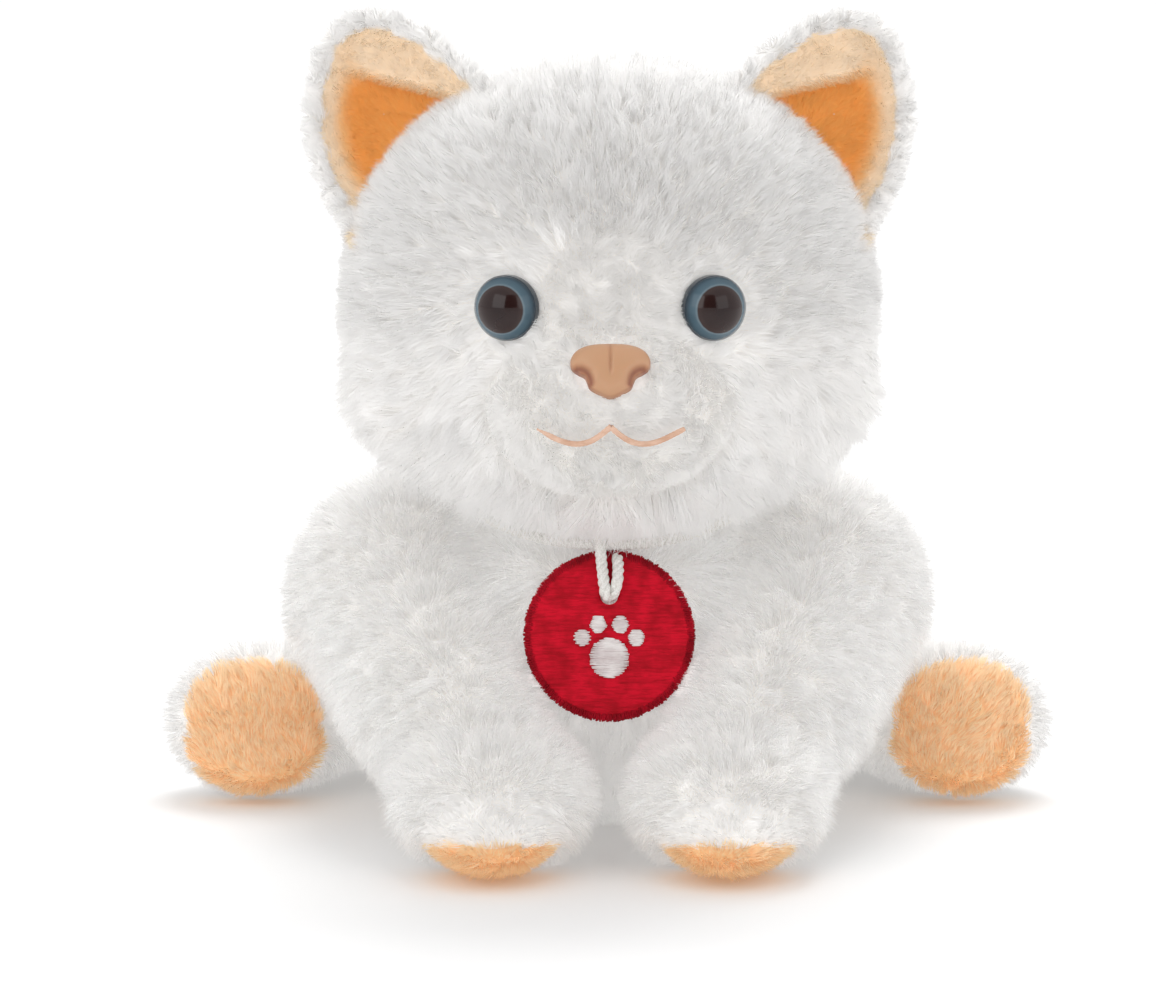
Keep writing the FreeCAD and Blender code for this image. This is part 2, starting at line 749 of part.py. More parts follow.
def ear_layer(name, outer_radius, inner_radius, margin):
    """A piece of a round shell, cut to the ear outline: the cupped shape of one ear layer, in the ear's own axes."""
    centre = Vector(0, -size("ear_cup_radius") + size("ear_wall"), size("ear_height") * 0.4)
    outer = bind(add("Part::Sphere", name + "_outer"), Radius=outer_radius)
    inner = bind(add("Part::Sphere", name + "_inner"), Radius=inner_radius)
    for ball in (outer, inner):
        ball.Placement.Base = centre
    prism = add("Part::Extrusion", name + "_prism")
    prism.Base = ear_outline(name + "_outline", margin)
    prism.Dir = Vector(0, 1, 0)
    prism.DirMode = "Custom"
    prism.LengthFwd = size("ear_cup_radius")
    prism.LengthRev = size("ear_cup_radius") * 0.7
    prism.Solid = True
    return common(name, cut(name + "_shell", outer, inner), prism)


def placed_on_head(name, layer):
    """The layer moved to the left ear's place and trimmed to stand just clear of the skull."""
    moved = add("Part::Compound", name + "_moved")
    moved.Links = [layer]
    moved.Placement = Placement(
        Vector(size("ear_x"), size("ear_y"), size("ear_z")), Rotation(Vector(0, 1, 0), size("ear_splay"))
    )
    skull = named_ellipsoid(name + "_skull", "skull", grow=cell("ear_head_gap"))
    return cut(name, moved, skull)


def build_ears():
    cup, wall = cell("ear_cup_radius"), cell("ear_wall")
    lining_outer = f"{cup} - {wall} - {cell('fit_gap')}"
    lining_inner = f"{cup} - {wall} - {cell('fit_gap')} - {cell('ear_lining_wall')}"
    back = ear_layer("ear_back_layer", cup, f"{cup} - {wall}", 0.0)
    lining = ear_layer("ear_lining_layer", lining_outer, lining_inner, size("ear_lining_margin"))
    keep_pair(placed_on_head("ear_back", back), "ear_back")
    keep_pair(placed_on_head("ear_lining", lining), "ear_lining")


# ---------------------------------------------------------------- neck cord, hang tag and care label


def cord_front():
    """The foremost point of the neck cord, where the tag hangs."""
    return Vector(0, size("cord_front_y"), size("cord_front_z"))


def hole_z():
    """Height of the tag's hole in the hanging position."""
    return size("cord_front_z") - size("loop_length") - size("loop_half_gap")


def build_cord():
    """The cord loop tied round the neck, in the crease between head and body."""
    cord = bind(add("Part::Torus", "cord_ring"), Radius1=cell("cord_loop_radius"), Radius2=cell("cord_radius"))
    tilt = math.radians(size("cord_tilt"))
    reach = size("cord_loop_radius")
    centre = cord_front() + Vector(0, reach * math.cos(tilt), reach * math.sin(tilt))
    cord.Placement = Placement(centre, Rotation(Vector(1, 0, 0), size("cord_tilt")))
    keep(cord, "neck_cord")


def tag_disc(name, back, thickness):
    """One round layer of the tag with its hole, its back face at the given y, drawn in the hanging position."""
    body = add("PartDesign::Body", name)
    sketch = new_sketch(body, name + "_sketch", "XY_Plane")
    edge = sketch.addGeometry(Part.Circle(Vector(0, 0, 0), UP, size("tag_radius")), False)
    centre_and_bind(sketch, edge, "tag_radius", cell("tag_radius"))
    pad = body.newObject("PartDesign::Pad", name + "_pad")
    pad.Profile = sketch
    bind(pad, Length=thickness)
    hole_height = size("tag_radius") - size("tag_hole_inset")
    hole_sketch = new_sketch(body, name + "_hole_sketch", "XY_Plane")
    hole_sketch.addGeometry(Part.Circle(Vector(0, hole_height, 0), UP, size("tag_hole_radius")), False)
    hole = body.newObject("PartDesign::Pocket", name + "_hole")
    hole.Profile = hole_sketch
    hole.Type = "ThroughAll"
    hole.Midplane = True
    body.Tip = hole
    body.Placement = aligned(FORWARD, Vector(0, back, hole_z() - hole_height))
    return body


def build_tag():
    """The cord loop through the tag's hole, and the tag: felt back, embroidered face and a raised paw motif."""
    half_gap = size("loop_half_gap")
    top = cord_front()
    low = top - Vector(0, 0, size("loop_length"))
    out = Vector(0, half_gap, 0)
    down = Vector(0, 0, half_gap)
    upper = Part.Arc(top + out, top + down, top - out).toShape()
    lower = Part.Arc(low - out, low - down, low + out).toShape()
    sides = [Part.makeLine(top - out, low - out), Part.makeLine(low + out, top + out)]
    spine = Part.Wire([upper, sides[0], lower, sides[1]])
    section = Part.Wire(Part.makeCircle(size("loop_cord_radius"), low - out, UP))
    loop = add("Part::Feature", "tag_loop_cord")
    loop.Shape = spine.makePipeShell([section], True, False)
    hang(keep(loop, "tag_loop"))

    layer = size("tag_layer")
    hang(keep(tag_disc("tag_face_body", top.y - size("fit_gap") / 5, cell("tag_layer")), "tag_face"))
    hang(keep(tag_disc("tag_backing_body", top.y + layer, cell("tag_layer")), "tag_backing"))
    centre_z = hole_z() - size("tag_radius") + size("tag_hole_inset")
    hang(keep(paw_motif(Vector(0, top.y - layer - size("fit_gap") / 2, centre_z)), "tag_motif"))


def hang(obj):
    """Swings a piece drawn hanging straight down to where it leans on the front legs, about the neck cord."""
    lean = Placement(Vector(0, 0, 0), Rotation(Vector(1, 0, 0), -size("tag_lean")), cord_front())
    obj.Placement = lean.multiply(obj.Placement)


# the tag's embroidery: x, z and radius of each round pad about the middle of the tag, the large pad first
PAW_PADS = [(0.0, -5.2, 4.6), (-2.2, 2.6, 1.9), (-6.2, -0.4, 1.9), (2.2, 2.6, 1.9), (6.2, -0.4, 1.9)]


def paw_motif(centre):
    """Raised embroidery on the tag: a plain paw print of one large pad and four toes."""
    middles = [centre + Vector(x, 0, z) for x, z, _ in PAW_PADS]
    solids = []
    for middle, (_, _, radius) in zip(middles, PAW_PADS):
        solids.append(Part.makeCylinder(radius, size("motif_height"), middle, FORWARD))
    for toe in middles[1:]:
        solids.append(jump_stitch(middles[0], toe))
    motif = add("Part::Feature", "tag_motif_pads")
    motif.Shape = solids[0].multiFuse(solids[1:])
    return motif


def jump_stitch(start, stop):
    """A flat thread between two embroidered pads, lying on the tag."""
    width = size("thread_radius")
    height = size("motif_height") / 3
    thread = Part.makeBox((stop - start).Length, height, width, Vector(0, -height, -width / 2))
    thread.Placement = Placement(start, Rotation(Vector(1, 0, 0), stop - start))
    return thread


def build_label():
    """The blank folded care label that stands out of the side seam beside the tail."""
    x = size("label_x")
    top = size("label_z") + size("label_width") / 2
    across = x / size("body_half_width")
    up = (top - size("body_z")) / size("body_half_height")
    seam_y = size("body_y") + size("body_half_depth") * math.sqrt(1 - across**2 - up**2) + size("label_gap")
    label = add("Part::Box", "label_tab")
    bind(label, Length=cell("label_thickness"), Width=cell("label_length"), Height=cell("label_width"))
    label.Placement.Base = Vector(x, seam_y, size("label_z") - size("label_width") / 2)
    keep(label, "care_label")


# ---------------------------------------------------------------- assembly


def check_and_write():
    """Stops on any failed object or bad shape, then writes one STEP file for each real piece."""
    doc.recompute()
    for obj in doc.Objects:
        if "Invalid" in obj.State or "Error" in obj.State:
            raise RuntimeError(f"{obj.Name} failed: {obj.State}")
    os.makedirs("parts", exist_ok=True)
    for old in os.listdir("parts"):
        os.remove(os.path.join("parts", old))
    for obj in kept_parts:
        shape = obj.Shape
        if shape.isNull() or not shape.isValid() or not shape.Solids:
            raise RuntimeError(f"{obj.Label} has no valid solid")
        shape.exportStep(os.path.join("parts", obj.Label + ".step"))
        print(f"{obj.Label}: {len(shape.Solids)} solid(s), {shape.Volume / 1000:.2f} cm3")


build_body()
build_neck()
build_limb("front_leg", "shoulder", "paw")
build_limb("hind_leg", "hip", "foot")
build_tail()
build_head()
build_eyes()
build_nose()
build_mouth()
build_ears()
build_cord()
build_tag()
build_label()
check_and_write()
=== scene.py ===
"""White plush cat: sewn skins puffed up by cloth simulation and grown over with pile, round the CAD frame.

Metres, +Z up; the cat faces -Y and its left is +X. Each strand of pile is a narrow tapered ribbon of mesh.
"""

import json
import math

import bmesh
import bpy
import numpy as np
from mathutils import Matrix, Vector
from mathutils.bvhtree import BVHTree
from mathutils.kdtree import KDTree


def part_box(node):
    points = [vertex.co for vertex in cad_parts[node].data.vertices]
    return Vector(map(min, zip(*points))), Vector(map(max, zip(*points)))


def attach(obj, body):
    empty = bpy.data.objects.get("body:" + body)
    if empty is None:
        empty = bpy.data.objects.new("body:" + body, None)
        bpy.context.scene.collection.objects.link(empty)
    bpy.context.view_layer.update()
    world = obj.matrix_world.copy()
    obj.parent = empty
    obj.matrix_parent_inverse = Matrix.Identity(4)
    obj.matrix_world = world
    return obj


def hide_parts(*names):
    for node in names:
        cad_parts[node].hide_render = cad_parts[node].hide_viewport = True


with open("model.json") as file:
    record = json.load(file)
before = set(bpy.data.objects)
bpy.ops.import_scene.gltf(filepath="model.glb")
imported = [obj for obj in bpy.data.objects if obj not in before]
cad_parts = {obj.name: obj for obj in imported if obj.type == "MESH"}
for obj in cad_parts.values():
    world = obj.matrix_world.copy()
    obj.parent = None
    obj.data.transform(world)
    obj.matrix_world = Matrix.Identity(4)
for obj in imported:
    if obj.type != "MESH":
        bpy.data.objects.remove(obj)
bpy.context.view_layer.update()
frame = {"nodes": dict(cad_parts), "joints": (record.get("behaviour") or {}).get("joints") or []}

MM = 0.001
SEED = 11
SIDES = {"left": 1.0, "right": -1.0}
UP = np.array([0.0, 0.0, 1.0])
ACROSS = np.array([1.0, 0.0, 0.0])
FORWARD = np.array([0.0, -1.0, 0.0])
UV_NAME = "OFBake"
JOINTS = {joint["name"]: joint for joint in frame["joints"]}

# ------------------------------------------------------------------ small vector helpers


def unit(v):
    return v / np.maximum(np.linalg.norm(v, axis=-1, keepdims=True), 1e-12)


def tangent(v, normals):
    """The part of v that lies in the surface."""
    return unit(v - np.sum(v * normals, axis=-1, keepdims=True) * normals)


def ramp(x, low, high):
    """0 at low, 1 at high, smooth between; low may be the larger."""
    t = np.clip((x - low) / (high - low), 0.0, 1.0)
    return t * t * (3 - 2 * t)


def column(x):
    return np.asarray(x)[:, None]


def away(points, place):
    """Distance of each point from a place."""
    return np.linalg.norm(points - place, axis=-1)


def turns(count):
    """Angles evenly spaced round a circle."""
    return np.arange(count) * 2 * math.pi / count


def about(angles, a, b):
    """Unit steps at the angles, in the plane of a and b."""
    return column(np.cos(angles)) * a + column(np.sin(angles)) * b


def steady(value):
    """A length function for grow() that is the same everywhere."""
    return lambda points, normals: np.full(len(points), float(value))


def joint_place(name):
    joint = JOINTS[name]
    return np.array(joint["pos_m"]), np.array(joint["axis"])


def middle(node):
    low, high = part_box(node)
    return np.array((low + high) / 2)


def wobble(points, wavelength, seed):
    """Smooth noise in about -1..1, one 3-vector for each point."""
    rng = np.random.default_rng(seed)
    total = np.zeros((len(points), 3))
    for octave in range(5):
        waves = rng.normal(size=(3, 3)) * (2 * math.pi / wavelength) * (0.7 + 0.25 * octave)
        total += np.sin(points @ waves + rng.uniform(0, 2 * math.pi, 3))
    return total / 3.2


# ------------------------------------------------------------------ materials


class Nodes:
    """A material's node tree with short ways to add and link."""

    def __init__(self, name):
        self.material = bpy.data.materials.new(name)
        self.material.use_nodes = True
        self.tree = self.material.node_tree
        self.tree.nodes.clear()
        self.out = self.add("ShaderNodeOutputMaterial")

    def add(self, kind, inputs=None, **settings):
        node = self.tree.nodes.new(kind)
        for key, value in settings.items():
            setattr(node, key, value)
        for key, value in (inputs or {}).items():
            if isinstance(value, bpy.types.NodeSocket):
                self.tree.links.new(value, node.inputs[key])
            elif isinstance(value, tuple) and len(value) == 3 and node.inputs[key].type == "RGBA":
                node.inputs[key].default_value = (*value, 1.0)
            else:
                node.inputs[key].default_value = value
        return node

    def ramp(self, factor, stops):
        node = self.add("ShaderNodeValToRGB", {0: factor})
        elements = node.color_ramp.elements
        while len(elements) < len(stops):
            elements.new(0.5)
        for element, (position, colour) in zip(elements, stops):
            element.position = position
            element.color = (*colour, 1.0)
        return node.outputs[0]

    def mix(self, factor, a, b):
        return self.add("ShaderNodeMix", {0: factor, 6: a, 7: b}, data_type="RGBA").outputs[2]

    def coords(self, scale=(1.0, 1.0, 1.0)):
        source = self.add("ShaderNodeTexCoord")
        return self.add("ShaderNodeMapping", {"Vector": source.outputs["Object"], "Scale": scale}).outputs[0]

    def uv(self):
        source = self.add("ShaderNodeUVMap", uv_map=UV_NAME)
        return self.add("ShaderNodeSeparateXYZ", {0: source.outputs[0]}).outputs

    def bump(self, height, strength, distance):
        node = self.add("ShaderNodeBump", {"Height": height, "Strength": strength, "Distance": distance})
        return node.outputs[0]

    def principled(self, **inputs):
        names = {key.replace("_", " "): value for key, value in inputs.items()}
        return self.finish(self.add("ShaderNodeBsdfPrincipled", names).outputs[0])

    def finish(self, shader):
        self.tree.links.new(shader, self.out.inputs[0])
        return self.material


def pile_material(name, root, tips, through_share, painted_glow):
    """Strands that change colour from root to tip along V, with U choosing among the tip colours.

    Without a root colour a strand is its tip colour all along. "through_share" of the light passes through.
    The emission strength is a painted glow in the strand's own colour, standing in for light that bounces
    between the strands too often to be traced.
    """
    nodes = Nodes(name)
    u, v, _ = nodes.uv()
    steps = len(tips) - 1
    tip = nodes.ramp(u, [(i / steps, colour) for i, colour in enumerate(tips)])
    share = nodes.ramp(v, [(0.0, (0.0,) * 3), (0.5, (1.0,) * 3)])
    colour = tip if root is None else nodes.mix(share, root, tip)
    solid = nodes.add("ShaderNodeBsdfPrincipled", {
        "Base Color": colour, "Roughness": 0.8, "Specular IOR Level": 0.1, "Emission Color": colour,
        "Emission Strength": painted_glow})
    through = nodes.add("ShaderNodeBsdfTranslucent", {"Color": colour})
    mixed = nodes.add("ShaderNodeMixShader", {0: through_share, 1: solid.outputs[0], 2: through.outputs[0]})
    return nodes.finish(mixed.outputs[0])


def cloth_material(name, light, dark, scale=900.0, bump=0.3, painted_glow=0.0):
    """Knitted or woven cloth: a fine cell pattern in colour and bump, with slow blotches."""
    nodes = Nodes(name)
    coords = nodes.coords()
    blotch = nodes.add("ShaderNodeTexNoise", {"Vector": coords, "Scale": 60.0, "Detail": 4.0})
    fine = nodes.add("ShaderNodeTexVoronoi", {"Vector": coords, "Scale": scale})
    blend = nodes.add("ShaderNodeMath", {0: blotch.outputs[0], 1: fine.outputs[0]}, operation="MULTIPLY")
    colour = nodes.ramp(blend.outputs[0], [(0.05, dark), (0.35, light)])
    normal = nodes.bump(fine.outputs[0], bump, 0.3 * MM)
    # The emission is a painted glow in the cloth's own colour.
    return nodes.principled(Base_Color=colour, Roughness=0.88, Normal=normal, Sheen_Weight=0.2,
                            Emission_Color=colour, Emission_Strength=painted_glow)


def eye_material():
    """Brown glass, a thin pale line that is a painted highlight, then steel blue, as U runs from the eye's
    middle to its rim.
    """
    nodes = Nodes("eye_glass")
    u, _, _ = nodes.uv()
    noise = nodes.add("ShaderNodeTexNoise", {"Vector": nodes.coords(), "Scale": 700.0, "Detail": 3.0})
    spread = nodes.add("ShaderNodeMath", {0: noise.outputs[0], 1: 0.02}, operation="MULTIPLY")
    place = nodes.add("ShaderNodeMath", {0: u, 1: spread.outputs[0]}, operation="ADD")
    colour = nodes.ramp(place.outputs[0], [
        (0.0, (0.012, 0.004, 0.004)), (0.60, (0.022, 0.009, 0.008)), (0.725, (0.035, 0.018, 0.016)),
        (0.755, (0.13, 0.18, 0.21)), (0.80, (0.065, 0.115, 0.15)), (0.91, (0.045, 0.085, 0.115)),
        (1.0, (0.015, 0.03, 0.045))])
    return nodes.principled(Base_Color=colour, Roughness=0.2, IOR=1.2, Coat_Weight=1.0, Coat_Roughness=0.02,
                            Coat_IOR=1.32)


def nose_material():
    """Soft peach vinyl; the vertex attribute "hollow" darkens the nostrils, the groove and the edge with
    painted shade.
    """
    nodes = Nodes("nose_vinyl")
    hollow = nodes.add("ShaderNodeAttribute", attribute_name="hollow")
    noise = nodes.add("ShaderNodeTexNoise", {"Vector": nodes.coords(), "Scale": 1500.0, "Detail": 3.0})
    colour = nodes.ramp(hollow.outputs["Fac"], [
        (0.0, (0.52, 0.285, 0.155)), (0.45, (0.42, 0.195, 0.095)), (1.0, (0.25, 0.08, 0.04))])
    normal = nodes.bump(noise.outputs[0], 0.12, 0.1 * MM)
    return nodes.principled(Base_Color=colour, Roughness=0.46, Normal=normal, Coat_Weight=0.12,
                            Coat_Roughness=0.35, Subsurface_Weight=0.12, Subsurface_Scale=0.002)


def stitched_material(name, light, dark, pitch, along):
    """Fill stitching: fine threads laid side by side along one world direction."""
    nodes = Nodes(name)
    stretch = tuple(0.12 if axis == along else 1.0 for axis in range(3))
    coords = nodes.coords(stretch)
    rows = nodes.add("ShaderNodeTexNoise", {
        "Vector": coords, "Scale": 1 / pitch, "Detail": 3.0, "Roughness": 0.7})
    slow = nodes.add("ShaderNodeTexNoise", {"Vector": nodes.coords(), "Scale": 220.0, "Detail": 3.0})
    blend = nodes.add("ShaderNodeMath", {0: rows.outputs[0], 1: slow.outputs[0]}, operation="MULTIPLY")
    colour = nodes.ramp(blend.outputs[0], [(0.14, dark), (0.34, light)])
    normal = nodes.bump(rows.outputs[0], 0.7, 0.35 * MM)
    return nodes.principled(Base_Color=colour, Roughness=0.62, Normal=normal, Specular_IOR_Level=0.12)


# The last number of each pile material is its painted glow. The white piles are one colour with different
# painted glows: most on the body and limbs, which lie in the head's shade, less on the head and the ears.
WHITE_ROOT = (0.93, 0.915, 0.895)
WHITE_TIPS = [(0.97, 0.96, 0.95), (0.98, 0.975, 0.97), (0.96, 0.95, 0.94)]
WHITE_PILE = pile_material("white_pile", WHITE_ROOT, WHITE_TIPS, 0.35, 0.30)
HEAD_PILE = pile_material("white_head_pile", WHITE_ROOT, WHITE_TIPS, 0.35, 0.19)
EAR_PILE = pile_material("white_ear_pile", (0.92, 0.905, 0.885), WHITE_TIPS, 0.25, 0.17)
WHITE_NAP = pile_material(
    "white_nap", (0.90, 0.885, 0.865), [(0.92, 0.91, 0.895), (0.935, 0.925, 0.915)], 0.35, 0.27)
PEACH_PILE = pile_material(
    "peach_pile", (0.92, 0.60, 0.34), [(0.95, 0.72, 0.46), (0.96, 0.77, 0.53), (0.94, 0.68, 0.41)], 0.3, 0.28)
# The ear lining's deep orange end is painted shade in the pocket under the folded flap; its pale end goes on
# the flap and the rim.
LINING_PILE = pile_material(
    "ear_lining_pile", None, [(0.94, 0.50, 0.14), (0.96, 0.67, 0.34), (0.98, 0.86, 0.70)], 0.3, 0.20)
# The backings' emission is a painted glow, so that where they show between strands they don't read as dark
# shade.
BACKING = cloth_material("white_backing", (0.86, 0.845, 0.825), (0.80, 0.785, 0.765), painted_glow=0.16)
PEACH_BACKING = cloth_material("peach_backing", (0.92, 0.66, 0.38), (0.86, 0.58, 0.30), painted_glow=0.15)
CORD_COTTON = cloth_material("cord_cotton", (0.86, 0.85, 0.82), (0.66, 0.64, 0.60), scale=2600.0, bump=0.5)
SEAM_THREAD = cloth_material("seam_thread", (0.86, 0.85, 0.83), (0.72, 0.70, 0.68), scale=1800.0)
WASHER_PLASTIC = cloth_material("washer_plastic", (0.72, 0.73, 0.75), (0.66, 0.67, 0.69), 300.0, 0.05)
POUCH_CLOTH = cloth_material("pouch_cloth", (0.70, 0.70, 0.66), (0.58, 0.58, 0.54), scale=1400.0)
PELLETS = cloth_material("pellets", (0.75, 0.76, 0.78), (0.55, 0.56, 0.58), scale=330.0, bump=1.0)
LABEL_RIBBON = cloth_material("label_ribbon", (0.88, 0.87, 0.85), (0.80, 0.79, 0.77), scale=3000.0)
MOUTH_THREAD = stitched_material("mouth_thread", (0.74, 0.50, 0.38), (0.60, 0.36, 0.25), 0.9 * MM, 0)
TAG_STITCH = stitched_material("tag_stitch", (0.60, 0.003, 0.020), (0.32, 0.001, 0.008), 0.55 * MM, 0)
TAG_EDGE = stitched_material("tag_edge", (0.42, 0.003, 0.016), (0.20, 0.001, 0.006), 0.5 * MM, 2)
TAG_FELT = cloth_material("tag_felt", (0.52, 0.01, 0.03), (0.40, 0.005, 0.02))
TAG_WHITE = stitched_material("tag_white_thread", (0.82, 0.78, 0.77), (0.60, 0.52, 0.52), 0.5 * MM, 0)
EYE_GLASS = eye_material()
NOSE_VINYL = nose_material()

# ------------------------------------------------------------------ meshes


def placed(name, data):
    """A new object in the scene that shows the data."""
    obj = bpy.data.objects.new(name, data)
    bpy.context.scene.collection.objects.link(obj)
    return obj


def read(items, attribute, wide, kind=float):
    """One attribute of all the items of a mesh, as rows of an array."""
    values = np.empty(len(items) * wide, kind)
    items.foreach_get(attribute, values)
    return values.reshape(-1, wide)


def set_uvs(mesh, uvs):
    """Adds the UV layer, from one (u, v) for each vertex."""
    loops = read(mesh.loops, "vertex_index", 1, np.int32).ravel()
    layer = mesh.uv_layers.new(name=UV_NAME)
    layer.uv.foreach_set("vector", np.asarray(uvs, np.float32)[loops].ravel())


def mesh_object(name, verts, faces, material, uvs=None):
    """A smooth mesh object; uvs gives one (u, v) for each vertex."""
    mesh = bpy.data.meshes.new(name)
    mesh.from_pydata([tuple(v) for v in verts], [], [tuple(f) for f in faces])
    mesh.polygons.foreach_set("use_smooth", [True] * len(mesh.polygons))
    if uvs is not None:
        set_uvs(mesh, uvs)
    mesh.materials.append(material)
    return placed(name, mesh)


def grid_faces(rows, columns, closed=True):
    """Quads between successive rows of vertices; each row is a ring when closed."""
    faces = []
    for r in range(rows - 1):
        for c in range(columns if closed else columns - 1):
            d = (c + 1) % columns
            faces.append((r * columns + c, r * columns + d, (r + 1) * columns + d, (r + 1) * columns + c))
    return faces


def triangles(obj):
    """(vertices, triangles, vertex normals) of an object's mesh as arrays."""
    mesh = obj.data
    mesh.calc_loop_triangles()
    tris = read(mesh.loop_triangles, "vertices", 3, np.int32)
    return read(mesh.vertices, "co", 3), tris, read(mesh.vertices, "normal", 3)


def mark_faces(obj, choose):
    """Gives the object's second material to the faces for whose centres choose is true."""
    marks = choose(read(obj.data.polygons, "center", 3))
    obj.data.polygons.foreach_set("material_index", marks.astype(np.int32))


def set_verts(obj, verts):
    obj.data.vertices.foreach_set("co", np.ascontiguousarray(verts, np.float32).ravel())
    obj.data.update()


def apply_modifiers(obj):
    graph = bpy.context.evaluated_depsgraph_get()
    mesh = bpy.data.meshes.new_from_object(obj.evaluated_get(graph))
    old = obj.data
    obj.modifiers.clear()
    obj.data = mesh
    bpy.data.meshes.remove(old)
    mesh.polygons.foreach_set("use_smooth", [True] * len(mesh.polygons))


def tube(path, radii, sides=8):
    """(vertices, quads) of a round tube along a path, with one radius for each of its points."""
    path = np.asarray(path)
    run = unit(np.gradient(path, axis=0))
    reference = UP if abs(run[0] @ UP) < 0.8 else ACROSS
    side = unit(np.cross(run[0], reference))
    rings = []
    for point, direction, radius in zip(path, run, radii):
        side = unit(side - (side @ direction) * direction)
        other = np.cross(direction, side)
        rings.append(point + radius * about(turns(sides), side, other))
    return np.concatenate(rings), grid_faces(len(path), sides)


def merged(parts):
    """Several (vertices, faces) meshes as one."""
    verts, faces, start = [], [], 0
    for part_verts, part_faces in parts:
        verts.append(part_verts)
        faces += [tuple(i + start for i in face) for face in part_faces]
        start += len(part_verts)
    return np.concatenate(verts), faces


def smooth_path(points, count, closed=False):
    """A Catmull-Rom curve through the points, resampled."""
    points = np.asarray(points)
    if closed:
        points = np.concatenate([points[-1:], points, points[:2]])
    else:
        points = np.concatenate([2 * points[:1] - points[1:2], points, 2 * points[-1:] - points[-2:-1]])
    t = np.linspace(0, len(points) - 3 - 1e-9, count, endpoint=not closed)
    k = t.astype(int)
    f = (t - k)[:, None]
    a, b, c, d = (points[k + i] for i in range(4))
    return 0.5 * (2 * b + (c - a) * f + (2 * a - 5 * b + 4 * c - d) * f**2 + (3 * b - a - 3 * c + d) * f**3)


def braid(path, radius, pitch, strands=3, closed=False):
    """A twisted cord along a path: a few round strands wound about it."""
    path = np.asarray(path)
    steps = np.linalg.norm(np.diff(path, axis=0), axis=1)
    lengths = np.concatenate([[0.0], np.cumsum(steps)])
    gap = np.linalg.norm(path[0] - path[-1]) if closed else 0
    winds = max(1, round((lengths[-1] + gap) / pitch))
    run = unit(np.gradient(path, axis=0))
    side = unit(np.cross(run, UP + 0.3 * ACROSS))
    other = np.cross(run, side)
    parts = []
    for k in range(strands):
        angles = lengths / lengths[-1] * winds * 2 * math.pi + k * 2 * math.pi / strands
        line = path + 0.5 * radius * about(angles, side, other)
        if closed:
            line = np.concatenate([line, line[:1]])
        parts.append(tube(line, [0.56 * radius] * len(line), 7))
    return merged(parts)


# ------------------------------------------------------------------ skins: remeshed cores, puffed up


def outer_shell(node):
    """The node's surface, welded, with any closed hollow inside it left out."""
    bm = bmesh.new()
    bm.from_mesh(frame["nodes"][node].data)
    bmesh.ops.remove_doubles(bm, verts=bm.verts, dist=0.01 * MM)
    seen, islands = set(), []
    for start in bm.verts:
        if start in seen:
            continue
        island, queue = [], [start]
        seen.add(start)
        while queue:
            vert = queue.pop()
            island.append(vert)
            for edge in vert.link_edges:
                other = edge.other_vert(vert)
                if other not in seen:
                    seen.add(other)
                    queue.append(other)
        islands.append(island)
    keep = set(max(islands, key=lambda verts: max(v.co.z for v in verts) - min(v.co.z for v in verts)))
    bmesh.ops.delete(bm, geom=[v for v in bm.verts if v not in keep], context="VERTS")
    return bm


def blank_skin(name, node, voxel=3.5 * MM, shrink=2.2 * MM):
    """An even, smooth mesh a little inside the node's surface, ready to be puffed up."""
    bm = outer_shell(node)
    mesh = bpy.data.meshes.new(name)
    bm.to_mesh(mesh)
    bm.free()
    skin = placed(name, mesh)
    remesh = skin.modifiers.new("even", "REMESH")
    remesh.mode = "VOXEL"
    remesh.voxel_size = voxel
    smooth = skin.modifiers.new("smooth", "SMOOTH")
    smooth.factor = 0.5
    smooth.iterations = 12
    apply_modifiers(skin)
    verts, _, normals = triangles(skin)
    set_verts(skin, verts - normals * shrink)
    skin.data.materials.clear()
    skin.data.materials.append(BACKING)
    skin.data.materials.append(PEACH_BACKING)
    return skin


def puff(skins, frames=20, pressure=4.0, cap=2.2 * MM):
    """Cloth simulation with pressure inside, all skins at once; no point moves further than cap."""
    starts = {skin.name: triangles(skin)[0] for skin in skins}
    for skin in skins:
        cloth = skin.modifiers.new("cloth", "CLOTH")
        cloth.settings.use_pressure = True
        cloth.settings.uniform_pressure_force = pressure
        cloth.settings.effector_weights.gravity = 0.0
        cloth.settings.quality = 5
        cloth.point_cache.frame_start = 1
        cloth.point_cache.frame_end = frames
    scene = bpy.context.scene
    for number in range(1, frames + 1):
        scene.frame_set(number)
    for skin in skins:
        apply_modifiers(skin)
        move = triangles(skin)[0] - starts[skin.name]
        reach = np.linalg.norm(move, axis=1, keepdims=True)
        set_verts(skin, starts[skin.name] + move * np.minimum(1.0, cap / np.maximum(reach, 1e-9)))
    scene.frame_set(1)


# ------------------------------------------------------------------ pile

RIBBON_LIMIT = 36000  # strands in one piece, so that each piece stays a handy size


class Look:
    """How one kind of pile grows: strands for each mm2, width in mm, angles in degrees above the surface."""

    def __init__(self, per_mm2, width, material, steps=3, root_lift=82, tip_lift=58, sag=0.10, lock=3.0,
                 pull=0.26, lock_turn=28, stray=13, uneven=0.11, fluff=0.3):
        self.per_mm2 = per_mm2
        self.width = width * MM
        self.material = material
        self.steps = steps
        self.root_lift = math.radians(root_lift)
        self.tip_lift = math.radians(tip_lift)
        self.sag = sag
        self.lock = lock * MM
        self.pull = pull
        self.lock_turn = math.radians(lock_turn)
        self.stray = math.radians(stray)
        self.uneven = uneven
        self.fluff = fluff


def nearest(points, places):
    """For each point, the number of the nearest place."""
    tree = KDTree(len(places))
    for i, place in enumerate(places):
        tree.insert(place, i)
    tree.balance()
    return np.array([tree.find(point)[1] for point in points])


